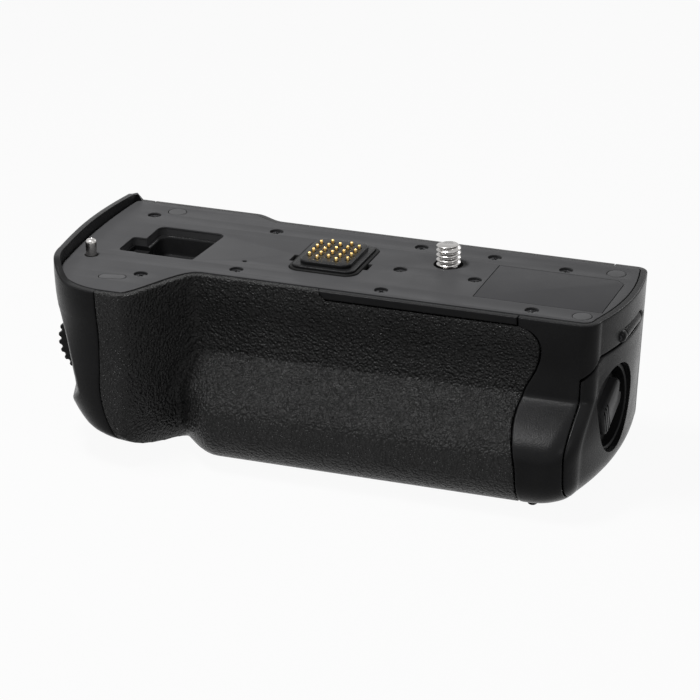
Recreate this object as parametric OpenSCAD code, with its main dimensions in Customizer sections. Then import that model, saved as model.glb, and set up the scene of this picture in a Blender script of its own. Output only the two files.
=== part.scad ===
// Camera battery grip: a hand grip that screws under a camera and repeats its controls for upright shooting.
// Millimetres. X runs to the right seen from the front, Y to the rear, Z up.
// The origin is on the camera screw's axis, in the face that meets the camera.

/* [Body] */
// Height from the base to the mounting face
body_h = 46.5; // [45:0.5:56]
// Right end at its front corner, from the camera screw
right_front = 47.6; // [46:0.2:56]
// Right end at its rear corner, from the camera screw
right_rear = 49.4; // [48:0.2:58]
// Crown of the right end between its corners
right_bow = 2.4; // [0.5:0.1:4]
// How far the right end leans in towards the base
right_draft = 2; // [0:0.1:4]
// Left end, from the camera screw
left_reach = 95.7; // [94:0.5:104]
// How far the left end leans in towards the base
left_draft = 2.6; // [0:0.1:4]
// Crown of the left end between its corners
left_bow = 1.2; // [0:0.1:2]
// Front face of the upper body
main_front = 28.4; // [28:0.2:34]
// Rear face behind the right-hand part
main_rear = 15.4; // [14.5:0.1:18]
// Extra depth of the rear face behind the hand controls
rear_step = 3.4; // [1:0.1:4]
// Front of the knob that continues the camera's own grip
knob_front = 48.2; // [45:0.2:54]
// Front of the upright grip's swelling
grip_front = 43.2; // [36:0.2:46]
// Depth of the finger groove above the swelling
crease_depth = 20.5; // [19:0.5:24]
// Height over which the swelling grows to its full depth
swell_rise = 11; // [8:0.5:14]
// How far the front is drawn in above the swelling
waist_depth = 0.8; // [0:0.1:1]
// Rounding of the base at the front
front_round = 10; // [6:0.5:12]
// Rounding of the base under the knob
knob_round = 8; // [5:0.5:10]
// Rounding of the base at the left end
left_round = 24; // [16:0.5:26]
// Rounding of the base at the right end
right_round = 8; // [5:0.5:10]
// Rounding of the base at the rear
rear_round = 4; // [3:0.5:7]

/* [Shells] */
// Wall of the moulded end and rear shells
shell_t = 1.7; // [1.2:0.1:2]
// Thickness of the grip rubber
rubber_t = 1.6; // [1:0.1:1.8]
// Wall of the front shell under the rubber
front_t = 1.3; // [1:0.1:1.6]
// Gap between neighbouring shells
seam_gap = 0.3; // [0.2:0.05:0.5]
// Height of the lip that shields the left end
lip_h = 3.3; // [1:0.1:5]
// Height of the smooth strip above the rubber
strip_h = 2.1; // [1.5:0.1:3]
// Thickness of the base cover
base_t = 2.2; // [1.6:0.1:3]
// Height of the base feet
foot_h = 1.2; // [0.5:0.1:2]

/* [Mounting face] */
// Thickness of the mounting plate
plate_t = 2.2; // [1.8:0.1:3]
// Major diameter of the camera screw, a quarter inch
screw_d = 6.35; // [5:0.05:10]
// Height of the camera screw above the plate
screw_h = 5.6; // [4:0.1:8]
// Radius of the thumb wheel beyond the rear face
wheel_proud = 2; // [1:0.1:3]
// Thickness of the thumb wheel
wheel_t = 5.8; // [4:0.1:7]
// Radius of the locating pin
locator_r = 1.45; // [1:0.05:2]
// Height of the locating pin
locator_h = 4.3; // [3:0.1:6]
// Spacing of the contact columns
pin_pitch_x = 2.6; // [2.2:0.05:2.8]
// Spacing of the contact rows
pin_pitch_y = 2.95; // [2.2:0.05:3.1]
// Radius of a spring contact
pin_r = 0.42; // [0.3:0.01:0.6]
// Stroke of the spring contacts
pin_stroke = 0.8; // [0.4:0.05:1.2]

/* [Battery and door] */
// Battery length, along the grip
battery_l = 55; // [46:0.5:58]
// Battery width, front to rear
battery_w = 33; // [28:0.5:33.5]
// Battery thickness
battery_h = 20; // [16:0.5:21]
// Clearance round the battery
battery_gap = 0.4; // [0.3:0.05:0.8]
// Wall of the battery chamber
chamber_t = 1; // [0.8:0.1:1.4]
// Wall of the battery door
door_t = 2.2; // [1.6:0.1:2.6]
// Radius of the lock's round pocket
cup_r = 10.4; // [9:0.1:11]
// Stroke of the door bolt
bolt_stroke = 2.6; // [2:0.1:3]

/* [Controls] */
// Radius of the front dial
front_dial_r = 10; // [9:0.1:10.4]
// Radius of the rear dial
rear_dial_r = 8; // [6:0.1:9]
// Radius of the shutter button
shutter_r = 4.2; // [3.5:0.1:4.6]
// Radius of the three small buttons on the left end
small_button_r = 2.1; // [1.5:0.1:2.6]
// Radius of the focus button
focus_button_r = 3.4; // [2.5:0.1:4]
// Radius of the display button
display_button_r = 2.5; // [2:0.1:3]
// Clearance round a button
button_gap = 0.3; // [0.2:0.05:0.5]

/* [Hidden] */
$fn = 48;

// Colours
black_plastic = [0.09, 0.09, 0.10];
black_rubber = [0.06, 0.06, 0.06];
plate_grey = [0.16, 0.16, 0.17];
steel = [0.72, 0.72, 0.73];
dark_steel = [0.12, 0.12, 0.13];
gold = [0.83, 0.66, 0.30];
pad_grey = [0.33, 0.33, 0.34];
board_green = [0.05, 0.25, 0.14];
battery_grey = [0.20, 0.20, 0.21];

// Form of the casing, in plan and height
left_end = -left_reach;
knob_foot_x = left_end + 38.2;
knob_brow_x = left_end + 24.2;
grip_start_x = left_end + 26.7;
grip_full_x = left_end + 46.7;
rear_step_x = left_end + 44.4;
rear_step_run = 8.2;
rear_draft = 0.8;
left_corner = 19;
left_corner_low = 14.5;
left_rear_corner = 3.5;
right_rear_corner = 3.4;
right_corner = 4.5;
grip_corner = 8;
crease_soft = 0.08;
waist_top = 3;
base_rim = 1;
swell_full = (1 + sqrt(1 + 4 * crease_soft)) / 2;
rim_drop = 0.2;
rim_gap = 0.3;
plate_inset = shell_t + rim_gap;
rubber_glue = 0.12;
rubber_back = rubber_t + rubber_glue;

// Smooth helpers
function clamp01(t) = min(1, max(0, t));
function mix(a, b, t) = a + (b - a) * t;
function ease(a, b, t) = let (s = clamp01((t - a) / (b - a))) s * s * (3 - 2 * s);
function unit(v) = v / norm(v);
function rounding(r, t) = t <= 0 ? 0 : r - sqrt(r * r - min(t, r) * min(t, r));
function base_rounding(r, z) = rounding(r, r - body_h - z);
function join(a, b) = pow(pow(a, 3) + pow(b, 3), 1 / 3);

// How far the upright grip has swollen at a height, from 0 to 1
function swell(z) =
    let (s = min(swell_full, max(0, (-z - crease_depth) / swell_rise)))
    sin(90 * s * s / (s + crease_soft));

function waist(z) = waist_depth * pow(sin(180 * clamp01((-z - waist_top) / crease_depth)), 2);
function knob_share(x) = ease(knob_foot_x, knob_brow_x, x);
function knob_step(x) = (knob_front - main_front) * knob_share(x);
function grip_step(x, z) = (grip_front - main_front) * swell(z) * ease(grip_start_x, grip_full_x, x);
function front_reach(x, z) =
    main_front - waist(z) + join(knob_step(x), grip_step(x, z))
    - base_rounding(mix(front_round, knob_round, knob_share(x)), z);
function rear_reach(x, z) =
    main_rear + rear_step * ease(rear_step_x, rear_step_x - rear_step_run, x)
    + rear_draft * z / body_h - base_rounding(rear_round, z);
function right_inset(z) = right_draft * -z / body_h + base_rounding(right_round, z);
function right_front_x(z) = right_front - right_inset(z);
function right_rear_x(z) = right_rear - right_inset(z);
function left_x(z) = left_end + left_draft * -z / body_h + base_rounding(left_round, z);
function front_corner(z) = mix(right_corner, grip_corner, swell(z));
function front_start(z) = right_front_x(z) - front_corner(z);
function left_bend(z) = mix(left_corner, left_corner_low, clamp01((left_round - body_h - z) / left_round));
function front_end(z) = left_x(z) + left_bend(z);
function bow(f) = 4 * f * (1 - f);

// Outer hull of the casing. Its stations go round it: front, left front corner, left end, left rear
// corner, rear, right rear corner, right end, right front corner.
stations = 8;
function hull(s, z) =
    let (w = s - stations * floor(s / stations), k = floor(w), f = w - k, d = min(z, 0), a = 90 * f,
        x0 = front_start(d), x1 = front_end(d), c = front_corner(d), e = left_bend(d),
        y0 = c - front_reach(x0, d), y1 = e - front_reach(x1, d),
        xl = left_x(d), xr = right_rear_x(d), xf = right_front_x(d),
        yl = rear_reach(xl, d) - left_rear_corner, yr = rear_reach(xr, d) - right_rear_corner)
    k == 0 ? let (x = mix(x0, x1, f)) [x, -front_reach(x, d), z]
    : k == 1 ? [x1 - e * sin(a), y1 - e * cos(a), z]
    : k == 2 ? [xl - left_bow * bow(f), mix(y1, yl, f), z]
    : k == 3 ? [xl + left_rear_corner * (1 - cos(a)), yl + left_rear_corner * sin(a), z]
    : k == 4 ? let (x = mix(xl + left_rear_corner, xr - right_rear_corner, f)) [x, rear_reach(x, d), z]
    : k == 5 ? [xr - right_rear_corner * (1 - sin(a)), yr + right_rear_corner * cos(a), z]
    : k == 6 ? [mix(xr, xf, f) + right_bow * bow(f), mix(yr, y0, f), z]
    : [x0 + c * cos(a), y0 - c * sin(a), z];

// Finger scoop across the left front corner, where the front dial stands: it cuts the corner off between a
// front and a rear edge that part from one another on the way down
scoop_top = -8;
scoop_full = -26;
scoop_hold = -29;
scoop_low = -37;
scoop_power = 0.4;
scoop_front_high = 1.8;
scoop_front_low = 1.35;
scoop_rear_high = 1.88;
scoop_rear_low = 2.14;
scoop_rear_top = -12;
scoop_rear_full = -20;
function scoop_end(z) = ease(scoop_low, scoop_hold, z);
function scoop_front(z) =
    mix(scoop_front_high, scoop_front_low,
        scoop_end(z) * pow(clamp01((scoop_top - z) / (scoop_top - scoop_full)), scoop_power));
function scoop_rear(z) =
    mix(scoop_rear_high, scoop_rear_low, scoop_end(z) * ease(scoop_rear_top, scoop_rear_full, z));

// Outer surface of the casing, with the scoop taken off
function skin(s, z) =
    let (a = scoop_front(z), b = scoop_rear(z))
    z < scoop_top && z > scoop_low && s > a && s < b
        ? mix(hull(a, z), hull(b, z), (s - a) / (b - a)) : hull(s, z);

step_s = 0.004;
step_z = 0.1;
function skin_normal(s, z) =
    unit(cross(skin(s + step_s, z) - skin(s - step_s, z), skin(s, z - step_z) - skin(s, z + step_z)));
function skin_at(g, depth) = skin(g[0], g[1]) - depth * skin_normal(g[0], g[1]);
function plan_at(s, z, depth) =
    let (p = skin(s, z), t = unit(skin(s + step_s, z) - skin(s - step_s, z)))
    [p[0] + depth * t[1], p[1] - depth * t[0]];

// Stations of the front and rear faces by their X
function front_station(x, z) = (front_start(z) - x) / (front_start(z) - front_end(z));
function rear_station(x, z) =
    let (a = left_x(z) + left_rear_corner, b = right_rear_x(z) - right_rear_corner) 4 + (x - a) / (b - a);

// A curved panel between two depths under the skin, over a grid of stations and heights
module panel(grid, depth_out, depth_in) {
    rows = len(grid[0]);
    n = len(grid) * rows;
    last_i = len(grid) - 1;
    last_j = rows - 1;
    points = concat([for (c = grid) for (g = c) skin_at(g, depth_out)],
        [for (c = grid) for (g = c) skin_at(g, depth_in)]);
    faces = concat(
        [for (i = [0:last_i - 1]) for (j = [0:last_j - 1])
            let (a = i * rows + j, b = a + rows)
            each [[b, a, a + 1], [b, a + 1, b + 1],
                [n + a, n + b, n + b + 1], [n + a, n + b + 1, n + a + 1]]],
        [for (i = [0:last_i - 1])
            let (a = i * rows, b = a + rows, d = a + last_j, c = b + last_j)
            each [[a, b, n + b], [a, n + b, n + a], [c, d, n + d], [c, n + d, n + c]]],
        [for (j = [0:last_j - 1])
            let (a = j, d = j + 1, b = last_i * rows + j, c = b + 1)
            each [[d, a, n + a], [d, n + a, n + d], [b, c, n + c], [b, n + c, n + b]]]);
    polyhedron(points = points, faces = faces, convexity = 6);
}

// Heights of the panels' rows, closest in the finger groove and the base rounding
panel_bottom = base_rim - body_h;
swell_end = crease_depth + swell_rise;
heights = concat(
    [for (i = [0:5]) -mix(rim_drop, crease_depth - 1, i / 5)],
    [for (i = [1:7]) -mix(crease_depth - 1, swell_end, i / 7)],
    [for (i = [1:6]) mix(-swell_end, panel_bottom, i / 6)]);

// Seams of the grip rubber
rubber_left_x = left_end + 13.2;
rubber_right_top = 33;
rubber_right_low = 31.4;
rubber_pinch = 4.4;
pinch_drop = 1.3;
pinch_run = 7;
rubber_corner = 6;
strip_end_x = -26;
strip_end_run = 2.4;
strip_end_gap = 1.6;
strip_start_x = strip_end_x + strip_end_run + strip_end_gap;
rubber_step_z = rim_drop + strip_h + seam_gap;
function seam_right(z) =
    mix(rubber_right_top, rubber_right_low, swell(z))
    - rubber_pinch * exp(-pow((z + crease_depth + pinch_drop) / pinch_run, 2))
    - rounding(rubber_corner, z + rubber_step_z + rubber_corner);
function rubber_top(x) = -mix(rim_drop, rubber_step_z, ease(strip_end_x, strip_end_x + strip_end_run, x));

// Columns of the rubber and of the shell behind it
grip_part = 0.5;
notch_part = 0.76;
row_step = 0.3;
rubber_columns = concat(
    [for (i = [0:17]) mix(0, grip_part, i / 17)],
    [for (i = [1:6]) mix(grip_part, notch_part, i / 6)],
    [for (i = [1:16]) mix(notch_part, 1, i / 16)]);
function rubber_point(u, z) =
    let (x = mix(seam_right(z), rubber_left_x, u)) [front_station(x, z), z];
function rubber_grid(first) =
    [for (u = rubber_columns)
        let (top = min(first, rubber_top(mix(seam_right(-rubber_step_z), rubber_left_x, u))))
        [for (j = [0:len(heights) - 1]) rubber_point(u, j == 0 ? top : min(top - row_step * j, heights[j]))]];

// Columns of the two end shells and the rear shell
rear_left_x = left_end + 6.9;
rear_right_x = 40;
function right_seam_station(z) = front_station(seam_right(z) + seam_gap, z);
right_columns = concat(
    [for (i = [0:2]) [0, -3 + i / 3]],
    [for (i = [0:7]) [0, -2 + i / 8]],
    [for (i = [0:5]) [0, -1 + i / 6]],
    [for (i = [0:3]) [i / 3, 0]]);
right_grid = concat(
    [[for (z = heights) [rear_station(rear_right_x + seam_gap, z) - stations, z]]],
    [for (c = right_columns) [for (z = heights) [c[0] * right_seam_station(z) + c[1], z]]]);
lip_start = 1.35;
lip_full = 1.75;
lip_end = 3.9;
lip_drop = 3.6;
lip_sag = 1.5;
lip_sag_start = 2.3;
lip_sag_end = 3.4;
function lip_end_fall(s) = clamp01((s - lip_drop) / (lip_end - lip_drop));
function lip_level(s) =
    mix(-rim_drop, lip_h, ease(lip_start, lip_full, s)) - lip_sag * ease(lip_sag_start, lip_sag_end, s);
function lip_top(s) = mix(lip_level(s), -rim_drop, lip_end_fall(s));
function left_stations(z) = concat(
    [for (i = [0:5]) mix(1, scoop_front(z), i / 5)],
    [for (i = [1:4]) mix(scoop_front(z), scoop_rear(z), i / 4)],
    [for (i = [1:7]) mix(scoop_rear(z), 3, i / 7)],
    [for (i = [1:5]) 3 + i / 5]);
left_columns = len(left_stations(0));
left_grid = concat(
    [[for (z = heights) [front_station(rubber_left_x - seam_gap, z), z]]],
    [for (i = [0:left_columns - 1]) [for (j = [0:len(heights) - 1])
        let (z = heights[j], s = left_stations(z)[i]) [s, j == 0 ? lip_top(s) : z]]],
    [[for (z = heights) [rear_station(rear_left_x - seam_gap, z), z]]]);
rear_columns = concat(
    [for (i = [0:4]) mix(rear_left_x, rear_step_x - rear_step_run, i / 4)],
    [for (i = [1:6]) rear_step_x - rear_step_run * (1 - i / 6)],
    [for (i = [1:7]) mix(rear_step_x, rear_right_x, i / 7)]);
rear_grid = [for (x = rear_columns) [for (z = heights) [rear_station(x, z), z]]];

// Stations round the whole plan, for the flat plates
plan_stations = concat(
    [for (i = [0:71]) i / 72],
    [for (i = [0:11]) 1 + i / 12],
    [for (i = [0:7]) 2 + i / 8],
    [for (i = [0:5]) 3 + i / 6],
    [4],
    [for (x = rear_columns) rear_station(x, 0)],
    [for (i = [0:5]) 5 + i / 6],
    [for (i = [0:9]) 6 + i / 10],
    [for (i = [0:5]) 7 + i / 6]);

// Plan places on the mounting plate, from the camera screw
screw_places = [[left_end + 10.7, 8], [left_end + 24, -32.8], [left_end + 45.8, -21.7],
    [left_end + 45.8, 7.3], [-10.3, 9.2], [-10.4, -7.7], [-10.4, -22.7], [9.7, -8.1], [9.8, 8.6], [29.6, 6.2],
    [29.2, -22.8]];
round_pad_places = [[left_end + 15.6, 12.2], [42.4, 8], [42.1, -22.6]];
long_pad_place = [left_end + 17.9, -37];
long_pad_turn = 14;
long_pad_l = 7;
long_pad_w = 3;
pad_r = 2.4;
pad_sink = 0.7;
locator_place = [left_end + 6.7, -24.6];
small_hole_place = [left_end + 45.7, -15.6];
small_hole_r = 0.65;
blank_front = -18.9;
blank_rear = 3.5;
blank_left = 12.7;
blank_right = 46.1;
blank_cut = 2;
blank_sink = 0.6;
fit_gap = 0.15;
touch_gap = 0.02;
over = 1;

// Plate screws
screw_head_r = 1.65;
screw_head_t = 0.9;
screw_sink = 0.5;
screw_shank_r = 0.8;
screw_reach = 0.9;
screw_len = plate_t - screw_sink + screw_reach;
cross_l = 2.1;
cross_w = 0.5;
cross_depth = 0.6;
cross_turn = 20;

// Socket for the cap of the camera's contacts
pocket_left = left_end + 15.5;
pocket_right = left_end + 34;
pocket_front = -19.3;
pocket_rear = 0.8;
pocket_corner = 2.2;
pocket_depth = 7.4;
pocket_ledge = 1.1;
notch_left = left_end + 11.8;
notch_front = -19;
notch_rear = -8.8;
notch_depth = 3.4;
tub_t = 1.2;

// Contact block
connector_x = -28.85;
connector_y = -6.25;
block_w = 13.8;
block_l = 17.4;
block_h = 1.9;
bezel_w = 16.8;
bezel_l = 20.4;
bezel_h = 0.9;
gasket_w = 18.6;
gasket_l = 22.2;
gasket_h = 0.35;
block_corner = 2.4;
block_foot = 7.6;
contact_tip = 1;
contact_back = 0.9;
contact_tail = block_foot - pin_stroke - contact_back;
board_t = 1.4;
column_counts = [4, 5, 4, 5, 4];
contact_places = [for (c = [0:4]) for (r = [0:column_counts[c] - 1])
    [connector_x + (c - 2) * pin_pitch_x, connector_y + (r - (column_counts[c] - 1) / 2) * pin_pitch_y]];
guide_slot_w = 1.2;
guide_slot_l = 4.4;
guide_slot_y = connector_y - 2.7;

// Camera screw and thumb wheel
screw_r = screw_d / 2;
thread_chamfer = 0.6;
neck_cut = 0.5;
screw_clear = 0.65;
neck_r = screw_r - neck_cut;
screw_hole_r = screw_r + screw_clear;
wheel_r = main_rear + wheel_proud;
wheel_teeth = 60;
wheel_tooth = 0.45;
turn_gap = 0.4;
collar_top = -plate_t - turn_gap;
collar_t = 0.9;
collar_r = 5.2;
wheel_top = collar_top - collar_t - touch_gap;
wheel_low = wheel_top - wheel_t;
spindle_r = 3;
journal_r = 2.5;
bush_gap = 0.05;
bush_r = 4.2;
bush_t = 2.6;
bush_flange = 0.6;
bush_top = wheel_low - turn_gap;
bush_low = bush_top - bush_t;
bracket_t = 1.5;
bracket_top = bush_top - bush_flange;
bracket_low = bracket_top - bracket_t;
bracket_x = 20;
bracket_y = 11.6;
post_x = 18.2;
post_y = 9.2;
post_r = 1.5;
clip_t = 0.55;
clip_r = 4;
clip_groove_r = 1.9;
clip_top = bush_low - turn_gap;
spindle_tail = 0.5;
spindle_low = clip_top - clip_t - spindle_tail;

// Battery chamber
mouth_set = 7.7;
mouth_x = right_front - mouth_set;
chamber_set = 2.2;
chamber_rear = main_rear - shell_t - chamber_set;
chamber_front = chamber_rear - battery_w - 2 * (battery_gap + chamber_t);
spindle_clear = 1.2;
chamber_top = spindle_low - spindle_clear;
chamber_low = chamber_top - battery_h - 2 * (battery_gap + chamber_t);
battery_end = mouth_x - battery_gap;
battery_start = battery_end - battery_l;
battery_rear = chamber_rear - chamber_t - battery_gap;
battery_top = chamber_top - chamber_t - battery_gap;
chamber_start = battery_start - battery_gap - chamber_t;
blade_count = 4;
blade_pitch = 4;
blade_t = 0.6;
blade_h = 5;
blade_reach = 2.4;
blade_slot = 0.6;
terminal_w = blade_count * blade_pitch;
terminal_h = 11;
terminal_t = 4;
terminal_y = battery_rear - battery_w / 2;
terminal_z = battery_top - battery_h / 2;

// Battery door, its hinge and its lock
door_top = -10.5;
door_set = 1.9;
door_rear = main_rear - right_rear_corner - door_set;
door_bend_y = -22.7;
door_bend = 45;
door_front = -35;
door_gap = 0.3;
hinge_gap = 0.6;
hinge_out = 1.8;
hinge_x = right_front + hinge_out;
hinge_z = -8.2;
barrel_r = 1.6;
barrel_front = -11.1;
barrel_rear = 1.6;
hinge_pin_r = 0.8;
knuckle_l = 2.6;
recess_gap = 0.3;
recess_top = hinge_z + barrel_r + recess_gap;
knuckle_front = barrel_front - recess_gap - knuckle_l;
knuckle_rear = barrel_rear + recess_gap + knuckle_l;
lock_y = -14;
lock_z = -27;
cup_t = 0.9;
cup_floor_t = 1.3;
cup_hole_gap = 0.2;
cup_set = 4.7;
cup_floor = mouth_x + cup_set;
cup_slope = 6.2;
cup_rim_out = 0.1;
cup_rim = right_front + cup_rim_out;
lock_shaft_r = 2;
lock_fit = 0.05;
knob_r = 8.6;
knob_base_t = 1;
knob_wing_w = 4.4;
knob_wing_h = 2.6;
knob_turn = 20;
crank_r = 3.6;
crank_t = 1;
crank_pin_r = 0.8;
bolt_t = 1.4;
bolt_h = 4.6;
bolt_slot_gap = 0.15;
bolt_clear = 0.5;
bolt_tail = 7;
bolt_face = mouth_x + bolt_clear;
bolt_rear = door_rear - door_gap;
bolt_front = lock_y - bolt_tail;
strike_t = 1.8;
strike_h = 8;

// Controls on the left end
dial_y = -31;
dial_t = 5;
dial_proud = 0.8;
front_dial_teeth = 27;
front_dial_tooth = 0.7;
dial_teeth = 36;
dial_tooth = 0.5;
dial_z = -20.8;
axle_r = 1;
axle_fit = 0.05;
cheek_t = 1;
cheek_gap = 0.5;
shutter_y = -17.8;
shutter_z = -20.5;
shutter_proud = 1;
shutter_travel = 1.2;
collar_wall = 1;
collar_proud = 0.3;
collar_len = 7;
shutter_depth = 3.6;
shutter_stem_r = 1.4;
button_crown = 0.7;
left_button_y = -6;
left_button_heights = [-10, -16, -22];
button_proud = 0.9;
button_depth = 5.2;
button_travel = 0.6;
button_flange = 0.7;
flange_gap = 0.5;
button_stop = 0.8;
button_board_gap = button_travel + button_stop;
slider_y = 3.5;
slider_z = -12;
slider_l = 3;
slider_h = 2.4;
slider_travel = 3.5;
slider_proud = 1.2;
slider_plate_t = 0.9;
slider_plate_l = 8;
slider_plate_h = 6;

// Controls on the rear
rear_dial_x = left_end + 11.7;
rear_dial_z = -20;
rear_dial_t = 6;
rear_dial_proud = 1.6;
stick_x = left_end + 25.7;
focus_x = stick_x;
focus_z = -17;
display_x = stick_x + 8;
display_z = -24;
stick_z = -31;
stick_r = 3.4;
stick_proud = 2.4;
stick_stem_r = 1.2;
stick_pivot_depth = 5.4;
gimbal_r = 2.2;
stick_collar_r = 4.5;
stick_collar_wall = 1.1;
rear_button_depth = 4.6;
rear_board_depth = 8;
spacer_r = 1.3;
left_spacer_r = 0.65;

// Skin depths that the controls are set against
function left_face(y, z) =
    let (d = min(z, 0), e = left_bend(d), y1 = e - front_reach(front_end(d), d),
        yl = rear_reach(left_x(d), d) - left_rear_corner, f = (y - y1) / (yl - y1))
    f < 0 ? front_end(d) - sqrt(e * e - pow(y1 - y, 2)) : left_x(d) - left_bow * bow(f);
dial_x = left_face(dial_y, dial_z) - dial_proud + front_dial_r;
rear_dial_y = rear_reach(rear_dial_x, rear_dial_z) + rear_dial_proud - rear_dial_r;
rear_board_y = rear_reach(stick_x, stick_z) - rear_board_depth;
left_board_x = left_face(left_button_y, left_button_heights[2]) + button_depth + button_board_gap;

// Sizes that join several pieces
door_edge_in = 4;
door_edge_x = right_front - door_edge_in;
hinge_web = 2;
hinge_pin_span = knuckle_rear - knuckle_front;
crank_low = bolt_face + bolt_t + door_gap;
strike_rear = rear_reach(mouth_x, lock_z) - shell_t - fit_gap;
shutter_collar_r = shutter_r + collar_wall;
collar_fit = 0.1;
slider_face = left_face(slider_y, slider_z);
wheel_slot_gap = 0.6;
wheel_slot_x = sqrt(pow(wheel_r, 2) - pow(main_rear - 2 * shell_t, 2)) + wheel_slot_gap;
thumb_left = left_end + 45.7;
thumb_right = -24;
thumb_top = -9;
thumb_low = -38;
thumb_t = 0.7;
base_inset = 3;
pocket_post_x = left_end + 26.7;
pocket_post_places = [[pocket_post_x, -14], [pocket_post_x, -3]];
chamber_post_places = [[-12, -19], [-12, 8], [28, -19], [28, 8]];
base_screw_places = concat(pocket_post_places, chamber_post_places);
base_post_r = 3;
base_top = -body_h + base_t;
base_head_r = 1.9;
base_head_t = 0.9;
base_shank_r = 1;
base_screw_len = 6;
foot_places = [[33.6, -33.4], [34, 7], [left_end + 27.7, 7], [left_end + 31.7, -22]];
foot_r = 1.35;
foot_taper = 0.7;
socket_r = 6;
socket_floor = 1;
socket_clear = 1;
socket_depth = body_h + chamber_low - socket_floor - socket_clear;
socket_flange_r = 8.5;
pad_proud = 0.05;
locator_flange_t = 1.2;
locator_step = 0.3;
locator_flange_w = 0.8;
locator_foot_r = locator_r + locator_step;
block_tab = 2;
pin_fit = 0.08;
board_left = pocket_right + 5.7;
board_right = -24;
board_front = -20;
board_rear = 7;
board_top = -14.8;
board_edge = 2.5;
board_post_right = -41.5;
cheek_w = 5;
left_board_edge = 4.2;
rear_board_left = stick_x - 7.5;
rear_board_right = stick_x + 10.7;
rear_board_edge = 5.5;

// Shared shapes
module block(low, high) {
    translate(low)
        cube(high - low);
}

module rounded_rect(w, l, r) {
    square([w - 2 * r, l], center = true);
    square([w, l - 2 * r], center = true);
    for (x = [-1, 1], y = [-1, 1])
        translate([x * (w / 2 - r), y * (l / 2 - r)])
            circle(r);
}

module toothed_disc(r, t, teeth, depth) {
    linear_extrude(t)
        polygon([for (i = [0:teeth - 1]) for (q = [0:3])
            let (a = 360 * (i + q / 4) / teeth, k = q < 2 ? r : r - depth) [k * cos(a), k * sin(a)]]);
}

// Stands a shape that is drawn along Z on the left end, pointing out of it
module on_left(y, z) {
    translate([left_face(y, z), y, z])
        rotate([0, -90, 0])
            children();
}

// Stands a shape that is drawn along Z on the rear, pointing out of it
module on_rear(x, z) {
    translate([x, rear_reach(x, z), z])
        rotate([-90, 0, 0])
            children();
}

// Lays a profile drawn in Y and Z along X
module along_x(x0, x1) {
    translate([x0, 0, 0])
        rotate([90, 0, 90])
            linear_extrude(x1 - x0)
                children();
}

module cross_screw(head_r, head_t, shank_r, len) {
    difference() {
        union() {
            translate([0, 0, -head_t])
                cylinder(r = head_r, h = head_t);
            translate([0, 0, -len])
                cylinder(r = shank_r, h = len - head_t / 2);
        }
        for (turn = [cross_turn, cross_turn + 90])
            rotate([0, 0, turn])
                translate([-cross_l / 2, -cross_w / 2, -cross_depth])
                    cube([cross_l, cross_w, cross_depth + over]);
    }
}

// Casing
module pocket_outline(inset) {
    translate([(pocket_left + pocket_right) / 2, (pocket_front + pocket_rear) / 2])
        rounded_rect(pocket_right - pocket_left - 2 * inset,
            pocket_rear - pocket_front - 2 * inset, pocket_corner);
}

module notch_outline(inset) {
    translate([notch_left + inset, notch_front + inset])
        square([pocket_left - notch_left + 2 * pocket_corner, notch_rear - notch_front - 2 * inset]);
}

module blank_outline(gap) {
    polygon([[blank_left - gap, blank_front - gap], [blank_right + gap, blank_front - gap],
        [blank_right + gap, blank_rear - blank_cut], [blank_right - blank_cut, blank_rear + gap],
        [blank_left - gap, blank_rear + gap]]);
}

module long_pad_outline(gap) {
    translate(long_pad_place)
        rotate(long_pad_turn) {
            square([long_pad_l - long_pad_w, long_pad_w + 2 * gap], center = true);
            for (side = [-1, 1])
                translate([side * (long_pad_l - long_pad_w) / 2, 0])
                    circle(long_pad_w / 2 + gap);
        }
}

module top_plate() {
    color(plate_grey)
        difference() {
            translate([0, 0, -plate_t])
                linear_extrude(plate_t)
                    polygon([for (s = plan_stations) plan_at(s, 0, plate_inset)]);
            translate([0, 0, -plate_t - over]) {
                cylinder(r = screw_hole_r, h = plate_t + 2 * over);
                linear_extrude(plate_t + 2 * over) {
                    pocket_outline(0);
                    notch_outline(0);
                }
                translate([connector_x, connector_y])
                    linear_extrude(plate_t + 2 * over)
                        rounded_rect(gasket_w + 2 * fit_gap, gasket_l + 2 * fit_gap, block_corner + 1);
                for (side = [-1, 1])
                    translate([connector_x + side * (gasket_w + guide_slot_w) / 2, guide_slot_y])
                        linear_extrude(plate_t + 2 * over)
                            square([guide_slot_w + 2 * fit_gap, guide_slot_l], center = true);
                translate(locator_place)
                    cylinder(r = locator_foot_r + touch_gap, h = plate_t + 2 * over);
                translate(small_hole_place)
                    cylinder(r = small_hole_r, h = plate_t + 2 * over);
                for (p = screw_places)
                    translate(p)
                        cylinder(r = screw_shank_r + fit_gap, h = plate_t + 2 * over);
            }
            for (p = screw_places)
                translate([p[0], p[1], -screw_sink - screw_head_t])
                    cylinder(r = screw_head_r + fit_gap, h = plate_t + over);
            for (p = round_pad_places)
                translate([p[0], p[1], -pad_sink])
                    cylinder(r = pad_r + fit_gap, h = pad_sink + over);
            translate([0, 0, -pad_sink])
                linear_extrude(pad_sink + over)
                    long_pad_outline(fit_gap);
            translate([0, 0, -blank_sink])
                linear_extrude(blank_sink + over)
                    blank_outline(fit_gap);
        }
}

module front_shell() {
    color(black_plastic)
        panel(rubber_grid(-plate_t - fit_gap), rubber_back, rubber_back + front_t);
}

module grip_rubber() {
    color(black_rubber)
        panel(rubber_grid(0), 0, rubber_t);
}

module front_rim_strip() {
    strip_columns = [for (i = [0:16]) mix(seam_right(-rubber_step_z), strip_start_x, i / 16)];
    color(black_plastic)
        panel([for (x = strip_columns) [for (z = [-rim_drop, -rim_drop - strip_h]) [front_station(x, z), z]]],
            0, rubber_t);
}

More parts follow.
